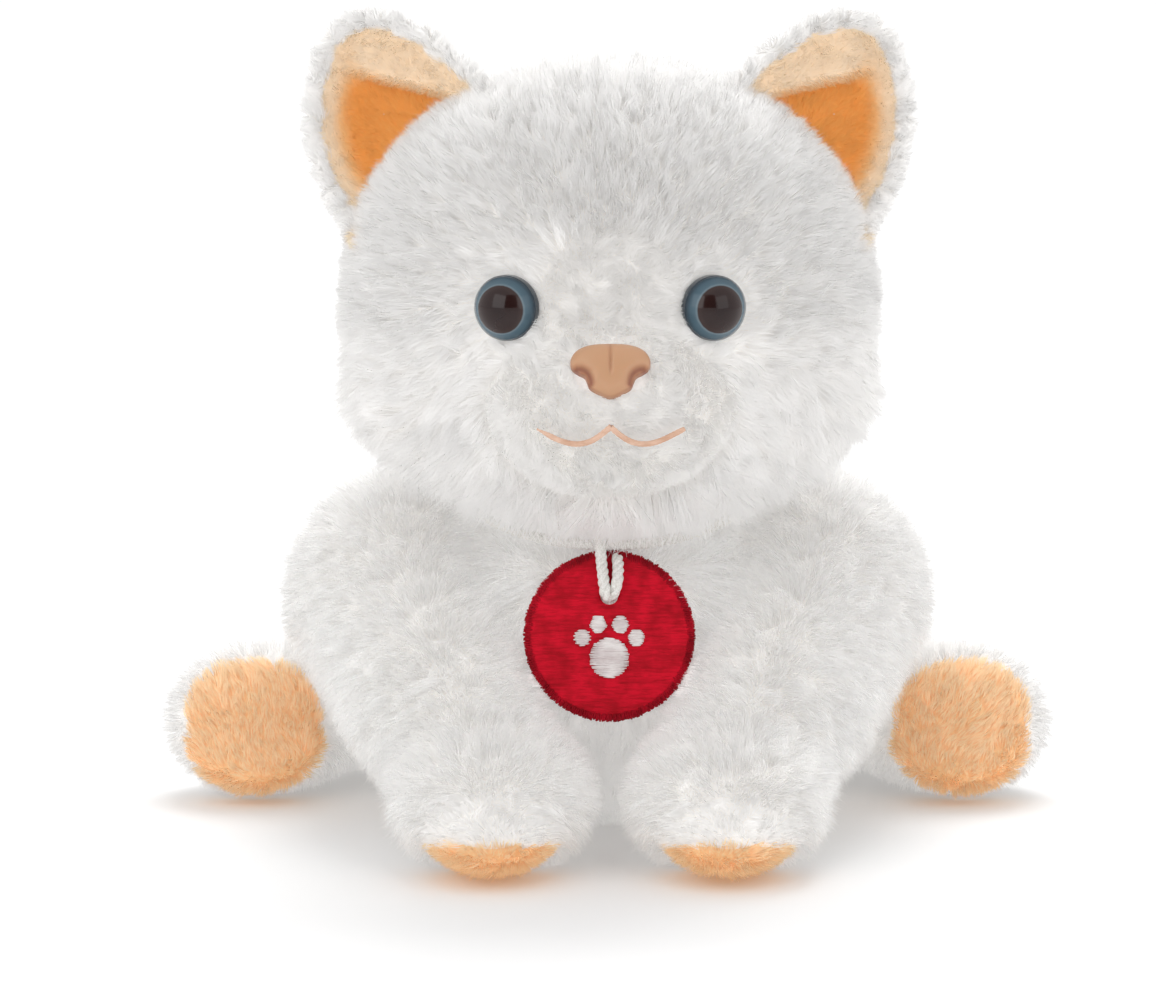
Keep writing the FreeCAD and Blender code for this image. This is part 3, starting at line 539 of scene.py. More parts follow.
def scatter(skin, per_mm2, rng):
    """Points spread over the skin with their smooth normals."""
    verts, tris, normals = triangles(skin)
    a, b, c = (verts[tris[:, i]] for i in range(3))
    area = np.linalg.norm(np.cross(b - a, c - a), axis=1) / 2
    count = int(area.sum() / MM**2 * per_mm2)
    pick = np.searchsorted(np.cumsum(area), rng.uniform(0, area.sum(), count))
    pick = np.minimum(pick, len(tris) - 1)
    u, v = rng.uniform(size=(2, count))
    flip = u + v > 1
    u[flip] = 1 - u[flip]
    v[flip] = 1 - v[flip]
    weights = np.stack([1 - u - v, u, v], 1)[:, :, None]
    corners = tris[pick]
    return (verts[corners] * weights).sum(1), unit((normals[corners] * weights).sum(1))


def grow(name, skin, body, look, length, comb, keep, seed, shade=None, tidy=None, lay=None):
    """Grows pile on a skin, in as many pieces as it needs.

    length, comb, keep, shade and lay take (points, normals): length gives millimetres, comb a direction,
    keep the share of strands kept, shade a place in the colour ramp and lay how flat the pile is combed.
    tidy moves the finished curves clear of things.
    """
    rng = np.random.default_rng(SEED + seed)
    roots, normals = scatter(skin, look.per_mm2, rng)
    kept = rng.uniform(size=len(roots)) < keep(roots, normals)
    roots, normals = roots[kept], normals[kept]
    count = len(roots)
    lengths = length(roots, normals) * MM * np.clip(rng.normal(1.0, look.uneven, count), 0.5, 1.35)
    leaders = rng.permutation(count)[: max(1, int(count / (look.per_mm2 * (look.lock / MM) ** 2)))]
    lock = nearest(roots, roots[leaders])
    turn = rng.normal(0, look.lock_turn, len(leaders))[lock] + rng.normal(0, look.stray, count)
    tilt = rng.normal(0, 0.16, len(leaders))[lock] + rng.normal(0, look.stray * 0.7, count)
    along = tangent(comb(roots, normals) + 0.45 * wobble(roots, 30 * MM, seed), normals)
    along = along * np.cos(turn)[:, None] + np.cross(normals, along) * np.sin(turn)[:, None]
    flat = np.zeros(count) if lay is None else lay(roots, normals)
    curve = [roots]
    for step in range(look.steps):
        share = (step + 0.5) / look.steps
        lift = (look.root_lift * (1 - share) + look.tip_lift * share) * (1 - 0.62 * flat) + tilt
        direction = along * np.cos(lift)[:, None] + normals * np.sin(lift)[:, None]
        direction = unit(direction - UP * look.sag * share)
        curve.append(curve[-1] + direction * (lengths / look.steps)[:, None])
    curves = np.stack(curve, 1)
    own = leaders[lock]
    share = look.pull * (np.arange(look.steps + 1) / look.steps) ** 1.4
    share = np.clip(share[None, :, None] * rng.uniform(0.4, 1.4, (count, 1, 1)), 0, 0.9)
    curves = curves + share * (curves[own] - curves)
    curves[:, :, 2] = np.maximum(curves[:, :, 2], 0.25 * MM)
    if tidy is not None:
        curves = tidy(curves)
    fan = look.fluff * (roots - roots[own]) / look.lock
    outward = unit(normals + fan + 0.10 * rng.normal(size=(count, 3)))
    colour = rng.uniform(size=count) if shade is None else shade(roots, normals, rng)
    rel = roots - roots.mean(0)
    order = np.argsort(np.arctan2(rel[:, 0], rel[:, 2]), kind="stable")
    parts = math.ceil(count / RIBBON_LIMIT)
    for i, own_part in enumerate(np.array_split(order, parts)):
        label = name if parts == 1 else f"{name}_{i + 1}"
        chosen = [values[own_part] for values in (curves, outward, normals, colour)]
        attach(ribbons(label, *chosen, look, rng), body)


def ribbons(name, curves, outward, normals, colour, look, rng):
    """Tapered ribbons along the curves, lit as one soft surface by normals that point outward."""
    count, points = curves.shape[:2]
    run = unit(np.gradient(curves, axis=1))
    roll = rng.normal(0, 0.8, count)[:, None, None]
    across = unit(np.cross(run, normals[:, None, :]) + 1e-6)
    side = across * np.cos(roll) + np.cross(run, across) * np.sin(roll)
    facing = np.sum(np.cross(side, run) * outward[:, None, :], axis=-1).sum(1)
    side = side * np.where(facing < 0, -1.0, 1.0)[:, None, None]
    share = np.arange(points - 1) / (points - 1)
    offset = side[:, :-1] * (look.width * (1 - 0.55 * share**1.5) / 2)[None, :, None]
    pairs = np.stack([curves[:, :-1] - offset, curves[:, :-1] + offset], 2).reshape(count, -1, 3)
    verts = np.concatenate([pairs, curves[:, -1:]], 1)
    per = verts.shape[1]
    quads = [(2 * k, 2 * k + 1, 2 * k + 3, 2 * k + 2) for k in range(points - 2)]
    faces = quads + [(per - 3, per - 2, per - 1)]
    loop = np.array([i for face in faces for i in face], np.int32)
    loops = (np.arange(count, dtype=np.int32)[:, None] * per + loop[None, :]).ravel()
    totals = np.tile(np.array([len(face) for face in faces], np.int32), count)
    starts = np.concatenate([[0], np.cumsum(totals)[:-1]]).astype(np.int32)
    mesh = bpy.data.meshes.new(name)
    mesh.vertices.add(count * per)
    mesh.vertices.foreach_set("co", verts.astype(np.float32).ravel())
    mesh.loops.add(len(loops))
    mesh.loops.foreach_set("vertex_index", loops)
    mesh.polygons.add(len(totals))
    mesh.polygons.foreach_set("loop_start", starts)
    mesh.update(calc_edges=True)
    heights = np.concatenate([np.repeat(share, 2), [1.0]])
    edges = np.append(np.tile([-0.003, 0.003], points - 1), 0.0)
    uv = np.stack([np.repeat(colour, per) + np.tile(edges, count), np.tile(heights, count)], 1)
    set_uvs(mesh, np.clip(uv, 0.002, 0.998))
    light = mesh.attributes.new("custom_normal", "FLOAT_VECTOR", "POINT")
    lean = np.repeat(outward[:, None, :], per, 1) + 0.2 * np.repeat(run[:, -1:], per, 1)
    light.data.foreach_set("vector", unit(lean).astype(np.float32).ravel())
    mesh.materials.append(look.material)
    return placed(name, mesh)


def paint(skin, shade):
    """Gives a skin the tip colours of the pile that grows on it, from a shade for each vertex."""
    near_tip = np.linspace(0.75, 0.95, len(shade))
    set_uvs(skin.data, np.stack([np.clip(shade, 0.002, 0.998), near_tip], 1))


# ------------------------------------------------------------------ where things are, from the frame


def spread_axes(points):
    """Three unit directions, in rising order of how far the points spread along them."""
    return np.linalg.eigh(np.cov(points.T))[1].T


def hardware(stem, washer, depth=4.0 * MM):
    """(base centre, outward direction) of an eye or the nose, from its flat washer on the same axis."""
    centre = middle(washer)
    axis = spread_axes(triangles(frame["nodes"][washer])[0])[0]
    if axis @ (middle(stem) - centre) < 0:
        axis = -axis
    return centre + axis * depth, axis


def surface_of(*nodes):
    """A search tree over the surfaces of some CAD nodes."""
    verts, faces = [], []
    for node in nodes:
        node_verts, tris, _ = triangles(frame["nodes"][node])
        faces += (tris + len(verts)).tolist()
        verts += node_verts.tolist()
    return BVHTree.FromPolygons(verts, faces)


def distances(points, tree):
    return np.array([tree.find_nearest(Vector(p))[3] for p in points])


def distance_to_line(points, line):
    """Distance to the nearest of the points on a line."""
    return np.sqrt(((points[..., None, :] - line) ** 2).sum(-1)).min(-1)


def mouth_line():
    """The middle of the mouth thread: points from the cat's right to its left."""
    verts = triangles(frame["nodes"]["mouth_embroidery"])[0]
    edges = np.linspace(verts[:, 0].min(), verts[:, 0].max(), 34)
    points = []
    for low, high in zip(edges[:-1], edges[1:]):
        inside = verts[(verts[:, 0] >= low) & (verts[:, 0] <= high)]
        if len(inside) > 3:
            points.append((inside.min(0) + inside.max(0)) / 2)
    return np.array(points)


def body_egg():
    """(centre, half sizes) of the body's outer surface, from its stuffing and the wall round it."""
    verts = triangles(frame["nodes"]["body_stuffing"])[0]
    wall = 3.1 * MM
    low, high = verts.min(0), verts.max(0)
    centre = np.array([0.0, (low[1] + high[1]) / 2, verts[verts[:, 0].argmax(), 2]])
    return centre, np.array([high[0], (high[1] - low[1]) / 2, high[2] - centre[2]]) + wall


EYES = {side: hardware(f"{side}_eye_pupil", f"{side}_eye_washer") for side in SIDES}
NOSE, NOSE_OUT = hardware("nose", "nose_washer")
NOSE_UP = unit(UP - (UP @ NOSE_OUT) * NOSE_OUT)
HEAD = (middle("left_head_panel") + middle("right_head_panel")) / 2
FACE_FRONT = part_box("face_panel")[0][1]
NECK = joint_place("neck_nod")[0]
EGG_CENTRE, EGG_HALF = body_egg()
MOUTH = mouth_line()
FACE_TREE = surface_of("face_panel")
PANEL_TREE = surface_of("left_head_panel", "right_head_panel")
EYE_RADIUS = 7.6 * MM
EYE_HEIGHT = 5.8 * MM
EYE_RIM_HEIGHT = 1.2 * MM

TAG_HOLE = joint_place("tag_turn")[0]
TAG_OUT = joint_place("tag_turn")[1]
TAG_OUT = TAG_OUT * (1 if TAG_OUT @ FORWARD > 0 else -1)
TAG_UP = np.cross(TAG_OUT, ACROSS)
TAG_UP = TAG_UP * np.sign(TAG_UP[2])
TAG_MIDDLE = (middle("tag_face") + middle("tag_backing")) / 2
TAG_RADIUS = (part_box("tag_face")[1].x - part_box("tag_face")[0].x) / 2
TAG_LAYER = 0.95 * MM


def face_share(points):
    """1 on the short-pile face panel, 0 on the long-pile panels, changing over a few millimetres."""
    face = ramp(distances(points, PANEL_TREE) - distances(points, FACE_TREE), -0.5 * MM, 2.0 * MM)
    return face * ramp(points[:, 2], NOSE[2] - 32 * MM, NOSE[2] - 28 * MM)


def depth_in_egg(points):
    """About how far inside the body's surface each point is."""
    return (1 - np.linalg.norm((points - EGG_CENTRE) / EGG_HALF, axis=-1)) * EGG_HALF.min()


def eye_gap(points):
    """Distance of each point from the nearer eye's middle."""
    return np.min([away(points, place) for place, _ in EYES.values()], axis=0)


# each skin: its body, the stuffing that it is made from, and what else it replaces
SKIN_NODES = {
    "head_skin": ("head", "head_stuffing", "left_head_panel", "right_head_panel", "face_panel"),
    "body_skin": ("torso", "body_stuffing", "left_body_panel", "right_body_panel", "belly_panel"),
    "tail_skin": ("tail", "tail_stuffing", "tail_cover"),
    "neck_skin": ("neck", "neck_plug"),
}
LIMBS = {}  # each limb: the joint at its root and its sewn-in pad
for side_name in SIDES:
    LIMBS[side_name + "_front_leg"] = (side_name + "_shoulder_spread", side_name + "_paw_pad")
    LIMBS[side_name + "_hind_leg"] = (side_name + "_hip_swing", side_name + "_foot_pad")
for limb_name, (_, limb_pad) in LIMBS.items():
    SKIN_NODES[limb_name + "_skin"] = (limb_name, limb_name + "_stuffing", limb_name + "_cover", limb_pad)

WALL = 2.6 * MM  # the pile's backing lies this far outside the stuffing


def pad_margin(points, limb):
    """Positive where pad pile grows: nearest the sewn-in pad, spread towards the floor and drawn in above."""
    pad, cover = surface_of(LIMBS[limb][1]), surface_of(limb + "_cover")
    low, high, most = (7.0, 13.0, 10.0) if "front" in limb else (24.0, 40.0, 5.0)
    growth = 4.2 - most * ramp(points[:, 2], low * MM, high * MM)
    return distances(points, cover) - distances(points, pad) + growth * MM


def make_skins():
    skins = {name: blank_skin(name, nodes[1]) for name, nodes in SKIN_NODES.items()}
    puff(list(skins.values()))
    for skin in skins.values():
        verts, _, normals = triangles(skin)
        set_verts(skin, verts + normals * (WALL + 0.0))
    shape_head(skins["head_skin"])
    shape_chest(skins["body_skin"])
    for limb, (root, pad) in LIMBS.items():
        shape_limb(skins[limb + "_skin"], joint_place(root)[0], pad)
    for name, (body, *nodes) in SKIN_NODES.items():
        skins[name].modifiers.new("finer", "SUBSURF").levels = 1
        apply_modifiers(skins[name])
        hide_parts(*nodes)
        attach(skins[name], body)
    return skins


def shape_head(skin):
    """Short pile stands less, so its skin sits further out; the mouth pulls a crease into it."""
    verts, _, normals = triangles(skin)
    face = face_share(verts)
    crease = np.exp(-((distance_to_line(verts, MOUTH) / (3.0 * MM)) ** 2))
    dimple = np.exp(-((eye_gap(verts) / (10 * MM)) ** 2))
    move = 1.2 * MM - face * crease * 1.3 * MM - dimple * 2.6 * MM
    beside = np.abs(verts[:, 0])
    cheek_level = np.exp(-(((verts[:, 2] - NOSE[2] + 14 * MM) / (20 * MM)) ** 2))
    wider = cheek_level * ramp(beside, 30 * MM, 56 * MM) * 4.5 + ramp(beside, 20 * MM, 55 * MM) * 1.2
    set_verts(skin, verts + normals * column(move) + column(np.sign(verts[:, 0]) * wider * MM) * ACROSS)


def shape_chest(skin):
    """Fills the chest out forwards to where the tag hangs."""
    verts, _, _ = triangles(skin)
    share = np.exp(-((verts[:, 0] / (33 * MM)) ** 2)) * ramp(verts[:, 1], 0 * MM, -30 * MM)
    share *= ramp(verts[:, 2], 18 * MM, 46 * MM)
    out = (verts - NECK) * [1, 1, 0]
    beside = np.linalg.norm(out, axis=1)
    collar = ramp(verts[:, 2], 50 * MM, 74 * MM) * ramp(beside, 66 * MM, 40 * MM)
    lifted = column(collar * MM) * (4.0 * unit(out) + 3.0 * UP)
    set_verts(skin, verts + column(share * 9.0 * MM) * FORWARD + lifted)


def shape_limb(skin, root, pad):
    """Fills the sleeve out, and marks the faces of the sewn-in pad."""
    end = middle(pad)
    axis = unit(end - root)
    verts, _, normals = triangles(skin)
    along = (verts - root) @ axis / np.linalg.norm(end - root)
    outward = normals @ (ACROSS * np.sign(root[0]))
    ahead = ramp(normals[:, 1], 0.1, -0.6)
    if "front" in skin.name:
        share = ramp(along, -0.5, 0.1) * ramp(along, 0.8, 0.35) * ramp(outward, -0.8, 0.3)
        verts += normals * column((share * 6.0 - 2.4 * ramp(along, 0.45, 0.8)) * MM)
        paw = ramp(along, 0.6, 0.85)
        verts += column(12.0 * MM * ahead * paw * ramp(verts[:, 2], 18 * MM, 4 * MM)) * FORWARD
        verts[:, 2] -= 2.6 * MM * paw * ramp(verts[:, 2], 12 * MM, 3 * MM)
        verts[:, 2] = np.maximum(verts[:, 2], 0.5 * MM)
    else:
        foot = ramp(along, 0.3, 0.7)
        verts[:, 2] *= 1 - 0.11 * foot
        verts += column(8.0 * MM * ahead * foot * ramp(verts[:, 2], 20 * MM, 4 * MM)) * FORWARD
    set_verts(skin, verts)
    mark_faces(skin, lambda centres: pad_margin(centres, skin.name[: -len("_skin")]) > 0)


SKINS = make_skins()

# ------------------------------------------------------------------ combing


def clear_of_tag(curves):
    """Keeps pile behind the hang tag."""
    gap = (curves - TAG_MIDDLE) @ TAG_OUT
    beside = np.linalg.norm(curves - TAG_MIDDLE - gap[..., None] * TAG_OUT, axis=-1)
    back = -1.4 * MM
    push = np.where((beside < TAG_RADIUS + 0.3 * MM) & (gap > back) & (gap < 22 * MM), gap - back, 0.0)
    return curves - push[..., None] * TAG_OUT


def clear_of_eyes(curves, overlap=-0.2 * MM):
    """Pushes pile off the domes of the eyes, all but a little at their rims."""
    for place, out in EYES.values():
        rel = curves - place
        height = rel @ out
        flat = rel - height[..., None] * out
        beside = np.linalg.norm(flat, axis=-1)
        wanted = EYE_RADIUS - overlap
        inside = (beside < wanted) & (height > -3 * MM)
        spread = np.where(inside, wanted / np.maximum(beside, 0.1 * MM), 1.0)
        curves = curves + flat * (spread - 1.0)[..., None]
    return curves


def clear_of_nose(curves):
    """Keeps pile from lying over the nose."""
    rel = curves - NOSE
    x, y = rel @ ACROSS, rel @ NOSE_UP
    beside = np.hypot(x / (8.8 * MM), y / (6.0 * MM))
    height = rel @ NOSE_OUT
    spread = np.where((beside < 1) & (height > -1 * MM), 1 / np.maximum(beside, 0.05), 1.0) - 1.0
    return curves + (x * spread)[..., None] * ACROSS + (y * spread)[..., None] * NOSE_UP


def off_hardware(points):
    """0 under an eye or the nose, 1 clear of them."""
    share = np.ones(len(points))
    for place, _ in EYES.values():
        share *= away(points, place) > EYE_RADIUS + 0.2 * MM
    rel = points - NOSE
    return share * (np.hypot(rel @ ACROSS / (8.6 * MM), rel @ NOSE_UP / (5.8 * MM)) > 1)


def head_comb(points, normals):
    """Swept out from the face all round, turning downwards at the sides, the back and the chin."""
    centre = np.array([0.0, FACE_FRONT, NOSE[2] - 2 * MM])
    out = points - centre
    out[:, 1] *= 0.35
    back = column(ramp(points[:, 1], HEAD[1] - 20 * MM, HEAD[1] + 35 * MM))
    low = column(ramp(points[:, 2], HEAD[2] + 10 * MM, HEAD[2] - 22 * MM))
    return unit(out) * (1.2 - back) - UP * (0.5 * back + 0.6 * low) + 0.4 * (1 - back) * np.array([0, 1, 0])


def head_length(points, normals):
    """Millimetres: short on the crown, longest on the cheeks and chin, trimmed close beside the eyes."""
    low = ramp(points[:, 2], NOSE[2] + 2 * MM, NOSE[2] - 22 * MM)
    chin = ramp(points[:, 2], NOSE[2] - 20 * MM, NOSE[2] - 32 * MM)
    long = 5.8 + 4.2 * low + 5.0 * chin
    return long * (0.6 + 0.4 * ramp(eye_gap(points), 8 * MM, 15 * MM))


def head_lay(points, normals):
    """Combed flatter on the cheeks, the chin and round the eyes than on the crown."""
    low = ramp(points[:, 2], HEAD[2] + 2 * MM, HEAD[2] - 18 * MM)
    return np.clip(0.75 * low + 0.5 * ramp(eye_gap(points), 20 * MM, 9 * MM), 0, 1)


def head_tidy(curves):
    return clear_of_tag(clear_of_nose(clear_of_eyes(curves)))


def nap_tidy(curves):
    return clear_of_nose(clear_of_eyes(curves, 0.3 * MM))


def nap_comb(points, normals):
    """Laid away from the nose, and up the bridge."""
    return points - NOSE + 5 * MM * NOSE_UP


def nap_length(points, normals):
    """Millimetres: clipped close at the mouth, the nose and the eyes."""
    off_mouth = ramp(distance_to_line(points, MOUTH), 0.7 * MM, 3.5 * MM)
    off_nose = ramp(away(points, NOSE), 8 * MM, 13 * MM) * ramp(eye_gap(points), 7 * MM, 12 * MM)
    return (1.5 + 1.1 * off_mouth) * (0.6 + 0.4 * off_nose)


def grow_head():
    def keep_long(points, normals):
        bare = (eye_gap(points) <= EYE_RADIUS + 1.2 * MM) | (away(points, NECK) <= 28 * MM)
        return ramp(face_share(points), 0.85, 0.35) * ~bare

    def keep_nap(points, normals):
        off_mouth = distance_to_line(points, MOUTH) > 0.8 * MM
        return ramp(face_share(points), 0.02, 0.4) * off_hardware(points) * off_mouth

    long = Look(6.2, 0.155, HEAD_PILE)
    grow("head_pile", SKINS["head_skin"], "head", long, head_length, head_comb, keep_long, 1,
         tidy=head_tidy, lay=head_lay)
    nap = Look(16.0, 0.15, WHITE_NAP, steps=2, root_lift=66, tip_lift=44, sag=0.0, lock=2.0, pull=0.05,
               lock_turn=8, stray=9, fluff=0.03)
    grow("face_nap", SKINS["head_skin"], "head", nap, nap_length, nap_comb, keep_nap, 2, tidy=nap_tidy)


def down(points, normals):
    return np.tile(-UP, (len(points), 1)) + 0.2 * normals


def grow_body():
    hollows = [(NECK, 27 * MM), (joint_place("tail_swing")[0], 14 * MM)]
    for side in SIDES:
        hollows.append((joint_place(f"{side}_shoulder_spread")[0], 26 * MM))
        hollows.append((joint_place(f"{side}_hip_swing")[0], 22 * MM))

    def keep(points, normals):
        kept = points[:, 2] > 1.5 * MM
        for place, radius in hollows:
            kept &= away(points, place) > radius
        return kept

    def length(points, normals):
        front = ramp(points[:, 1], -5 * MM, -30 * MM) * ramp(points[:, 2], 32 * MM, 55 * MM)
        collar = ramp(away(points, NECK), 52 * MM, 40 * MM)
        return 8.5 + 2.0 * front + 4.5 * collar

    look = Look(4.6, 0.19, WHITE_PILE)
    grow("body_pile", SKINS["body_skin"], "torso", look, length, down, keep, 3, tidy=clear_of_tag)
    grow("neck_pile", SKINS["neck_skin"], "neck", Look(3.0, 0.20, WHITE_PILE), steady(9.0), down,
         lambda points, normals: np.abs(points[:, 2] - NECK[2]) < 17 * MM, 4, tidy=clear_of_tag)


def limb_pile(limb, length, seed):
    """Long pile on a limb, swept round and away from the sewn-in pad, and short dense pile on the pad."""
    root, pad_node = LIMBS[limb]
    start, pad_middle = joint_place(root)[0], middle(pad_node)
    axis = unit(pad_middle - start)
    tree = surface_of(pad_node)
    skin = SKINS[limb + "_skin"]

    def to_pad(points):
        return distances(points, tree)

    def keep(points, normals):
        open_air = (depth_in_egg(points) < 4 * MM) & (points[:, 2] > 1.2 * MM)
        return open_air & (pad_margin(points, limb) < 0.3 * MM)

    def keep_pad(points, normals):
        return (pad_margin(points, limb) > -0.3 * MM) & (points[:, 2] > 0.6 * MM)

    def comb(points, normals):
        near = column(ramp(to_pad(points), 13 * MM, 4 * MM))
        return (1 - near) * (axis - 0.4 * UP) + near * unit(points - pad_middle)

    def lengths(points, normals):
        return length * (0.36 + 0.64 * ramp(to_pad(points), 4 * MM, 13 * MM))

    look = Look(4.8, 0.185, WHITE_PILE)
    grow(f"{limb}_pile", skin, limb, look, lengths, comb, keep, seed, tidy=clear_of_tag)
    pad = Look(7.0, 0.2, PEACH_PILE, steps=2, root_lift=62, tip_lift=35, sag=0.0, lock=2.2, pull=0.3,
               lock_turn=14)
    grow(f"{limb}_pad_pile", skin, limb, pad, steady(3.6),
         lambda points, normals: np.tile([0.25 * np.sign(start[0]), 0.0, 1.0], (len(points), 1)),
         keep_pad, seed + 50)


def grow_limbs():
    for i, limb in enumerate(LIMBS):
        limb_pile(limb, 8.0 if "front" in limb else 6.2, 10 + i)
    root = joint_place("tail_swing")[0]
    grow("tail_pile", SKINS["tail_skin"], "tail", Look(4.2, 0.19, WHITE_PILE), steady(7.5),
         lambda points, normals: np.tile([0.35, 0.9, -0.2], (len(points), 1)),
         lambda points, normals: (depth_in_egg(points) < 3 * MM) & (points[:, 1] > root[1] - 8 * MM), 30)


grow_head()
grow_body()
grow_limbs()

# ------------------------------------------------------------------ eyes, nose and mouth


def build_eye(side):
    """A glossy dome with a rounded rim, standing on its base plane."""
    place, out = EYES[side]
    level = unit(np.cross(UP, out))
    above = np.cross(out, level)
    rise = EYE_HEIGHT - EYE_RIM_HEIGHT
    ball = (EYE_RADIUS**2 + rise**2) / (2 * rise)
    profile = []
    for share in np.linspace(0.004, 0.985, 26):
        radius = EYE_RADIUS * share
        profile.append((radius, EYE_HEIGHT - ball + math.sqrt(ball**2 - radius**2), share))
    corner = 0.25 * MM
    for turn in np.linspace(0, math.pi / 2, 5)[1:]:
        radius = EYE_RADIUS - corner + corner * math.sin(turn)
        profile.append((radius, EYE_RIM_HEIGHT - corner + corner * math.cos(turn), 0.99))
    profile.append((EYE_RADIUS, -1.2 * MM, 1.0))
    count = 96
    angles = turns(count)
    verts, uvs = [], []
    for radius, height, share in profile:
        verts.append(place + out * height + radius * about(angles, level, above))
        uvs.append(np.stack([np.full(count, share), (angles / (2 * math.pi)) * 0.99 + 0.005], 1))
    faces = grid_faces(len(profile), count)
    faces.append(tuple(range(count - 1, -1, -1)))
    eye = mesh_object(f"{side}_eye_dome", np.concatenate(verts), faces, EYE_GLASS, np.concatenate(uvs))
    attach(eye, "head")
    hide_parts(f"{side}_eye", f"{side}_eye_pupil")


# right half of the nose outline from its top middle to its bottom middle, and the line of one nostril, in mm
NOSE_EDGE = [(0, 5.9), (3.6, 5.75), (6.4, 5.1), (8.3, 3.8), (9.15, 2.0), (8.8, 0.3), (7.4, -0.9), (6.0, -1.7),
             (5.35, -2.9), (4.75, -4.3), (3.1, -5.4), (1.2, -6.4), (0, -6.65)]
NOSTRIL = [(7.6, -0.2), (6.4, -0.5), (5.2, -1.3), (4.6, -2.5), (4.4, -3.6)]


def build_nose():
    """A moulded vinyl nose: a soft pillow with a middle groove and two hooked nostrils."""
    right = smooth_path(NOSE_EDGE, 70)
    left = right[-2:0:-1] * [-1, 1]
    outline = np.concatenate([right, left])
    hook = smooth_path(NOSTRIL, 30)
    rings = np.append(np.linspace(0.03, 0.9, 30), [0.94, 0.97, 0.99, 1.0, 1.0])
    on_side = np.append(np.zeros(len(rings) - 1), 1.0)  # only the last ring drops down the nose's side
    verts, shades = [], []
    for share, side in zip(rings, on_side):
        flat = outline * share
        flat[:, 1] += (1 - share) * 0.6
        pillow = 3.5 * (1 - share**5) ** 0.5 + 0.7 - side * 3.5
        bulge = 0.9 * (1 - np.hypot(flat[:, 0] / 9.5, (flat[:, 1] - 0.5) / 6.5) ** 2)
        groove = np.exp(-((flat[:, 0] / 0.42) ** 2)) * ramp(flat[:, 1], -2.8, 0.2) * ramp(share, 1.0, 0.9)
        mirrored = np.abs(flat * [1, 0]) + flat * [0, 1]
        nostril = np.exp(-((distance_to_line(mirrored, hook) / 0.75) ** 2))
        height = pillow + bulge - 0.45 * groove - 1.5 * nostril * (1 - side)
        level = column(flat[:, 0]) * ACROSS + column(flat[:, 1]) * NOSE_UP
        verts.append(NOSE + MM * (level + column(height) * NOSE_OUT))
        # painted shade: darker in the nostrils, along the groove and at the edge where the nose turns away
        edge = 0.6 * ramp(share, 0.93, 1.0)
        shades.append(np.clip(0.95 * nostril + 0.35 * groove + 0.75 * edge, 0, 1) * np.ones(len(flat)))
    count = len(outline)
    faces = [face[::-1] for face in grid_faces(len(rings), count)]
    faces.append(tuple(range(count)))
    nose = mesh_object("nose_vinyl", np.concatenate(verts), faces, NOSE_VINYL)
    shade = nose.data.attributes.new("hollow", "FLOAT", "POINT")
    shade.data.foreach_set("value", np.concatenate(shades).astype(np.float32))
    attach(nose, "head")
    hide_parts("nose")


def build_mouth():
    """Two runs of satin stitch that meet under the nose, thin at their ends."""
    peak = int(np.argmin(np.abs(MOUTH[:, 0])))
    parts = []
    for run in (MOUTH[: peak + 1], MOUTH[peak:]):
        path = smooth_path(run[:: max(1, len(run) // 8)].tolist() + [run[-1].tolist()], 60)
        share = np.linspace(0, 1, len(path))
        end = share if run[0][0] > -1 * MM else 1 - share
        radii = 0.66 * MM * (0.35 + 0.65 * ramp(end, 1.0, 0.82)) * (1 + 0.10 * np.sin(share * 150))
        parts.append(tube(path + 1.0 * MM * FORWARD, radii, 8))
    verts, faces = merged(parts)
    mouth = mesh_object("mouth_stitching", verts, faces, MOUTH_THREAD)
    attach(mouth, "head")
    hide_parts("mouth_embroidery")


for side_name in SIDES:
    build_eye(side_name)
build_nose()
build_mouth()

# ------------------------------------------------------------------ ears

# the ear's edge in its own plane, mm: x from the crown side to the cheek side, z away from the head
EAR_EDGE = [(-23, -6), (-23.2, 4), (-22, 15), (-19, 25), (-13.5, 31.5), (-7, 33.5), (0.5, 31.5), (8.5, 26.5),
            (15.5, 19.5), (20.5, 10.5), (23, 0), (23, -6), (0, -7)]
EAR_CUP = (-31.0, 12.4, 34.0)  # y, z and radius of the round cup it is bent over, mm
EAR_MIDDLE = 1.6  # where the back and the lining are sewn together, mm in from the cup
TRIM = 3.0  # the white pile that comes round the edge, mm
FOLD_START = np.array([-14.0, 4.0])
FOLD_END = np.array([-1.0, 25.0])


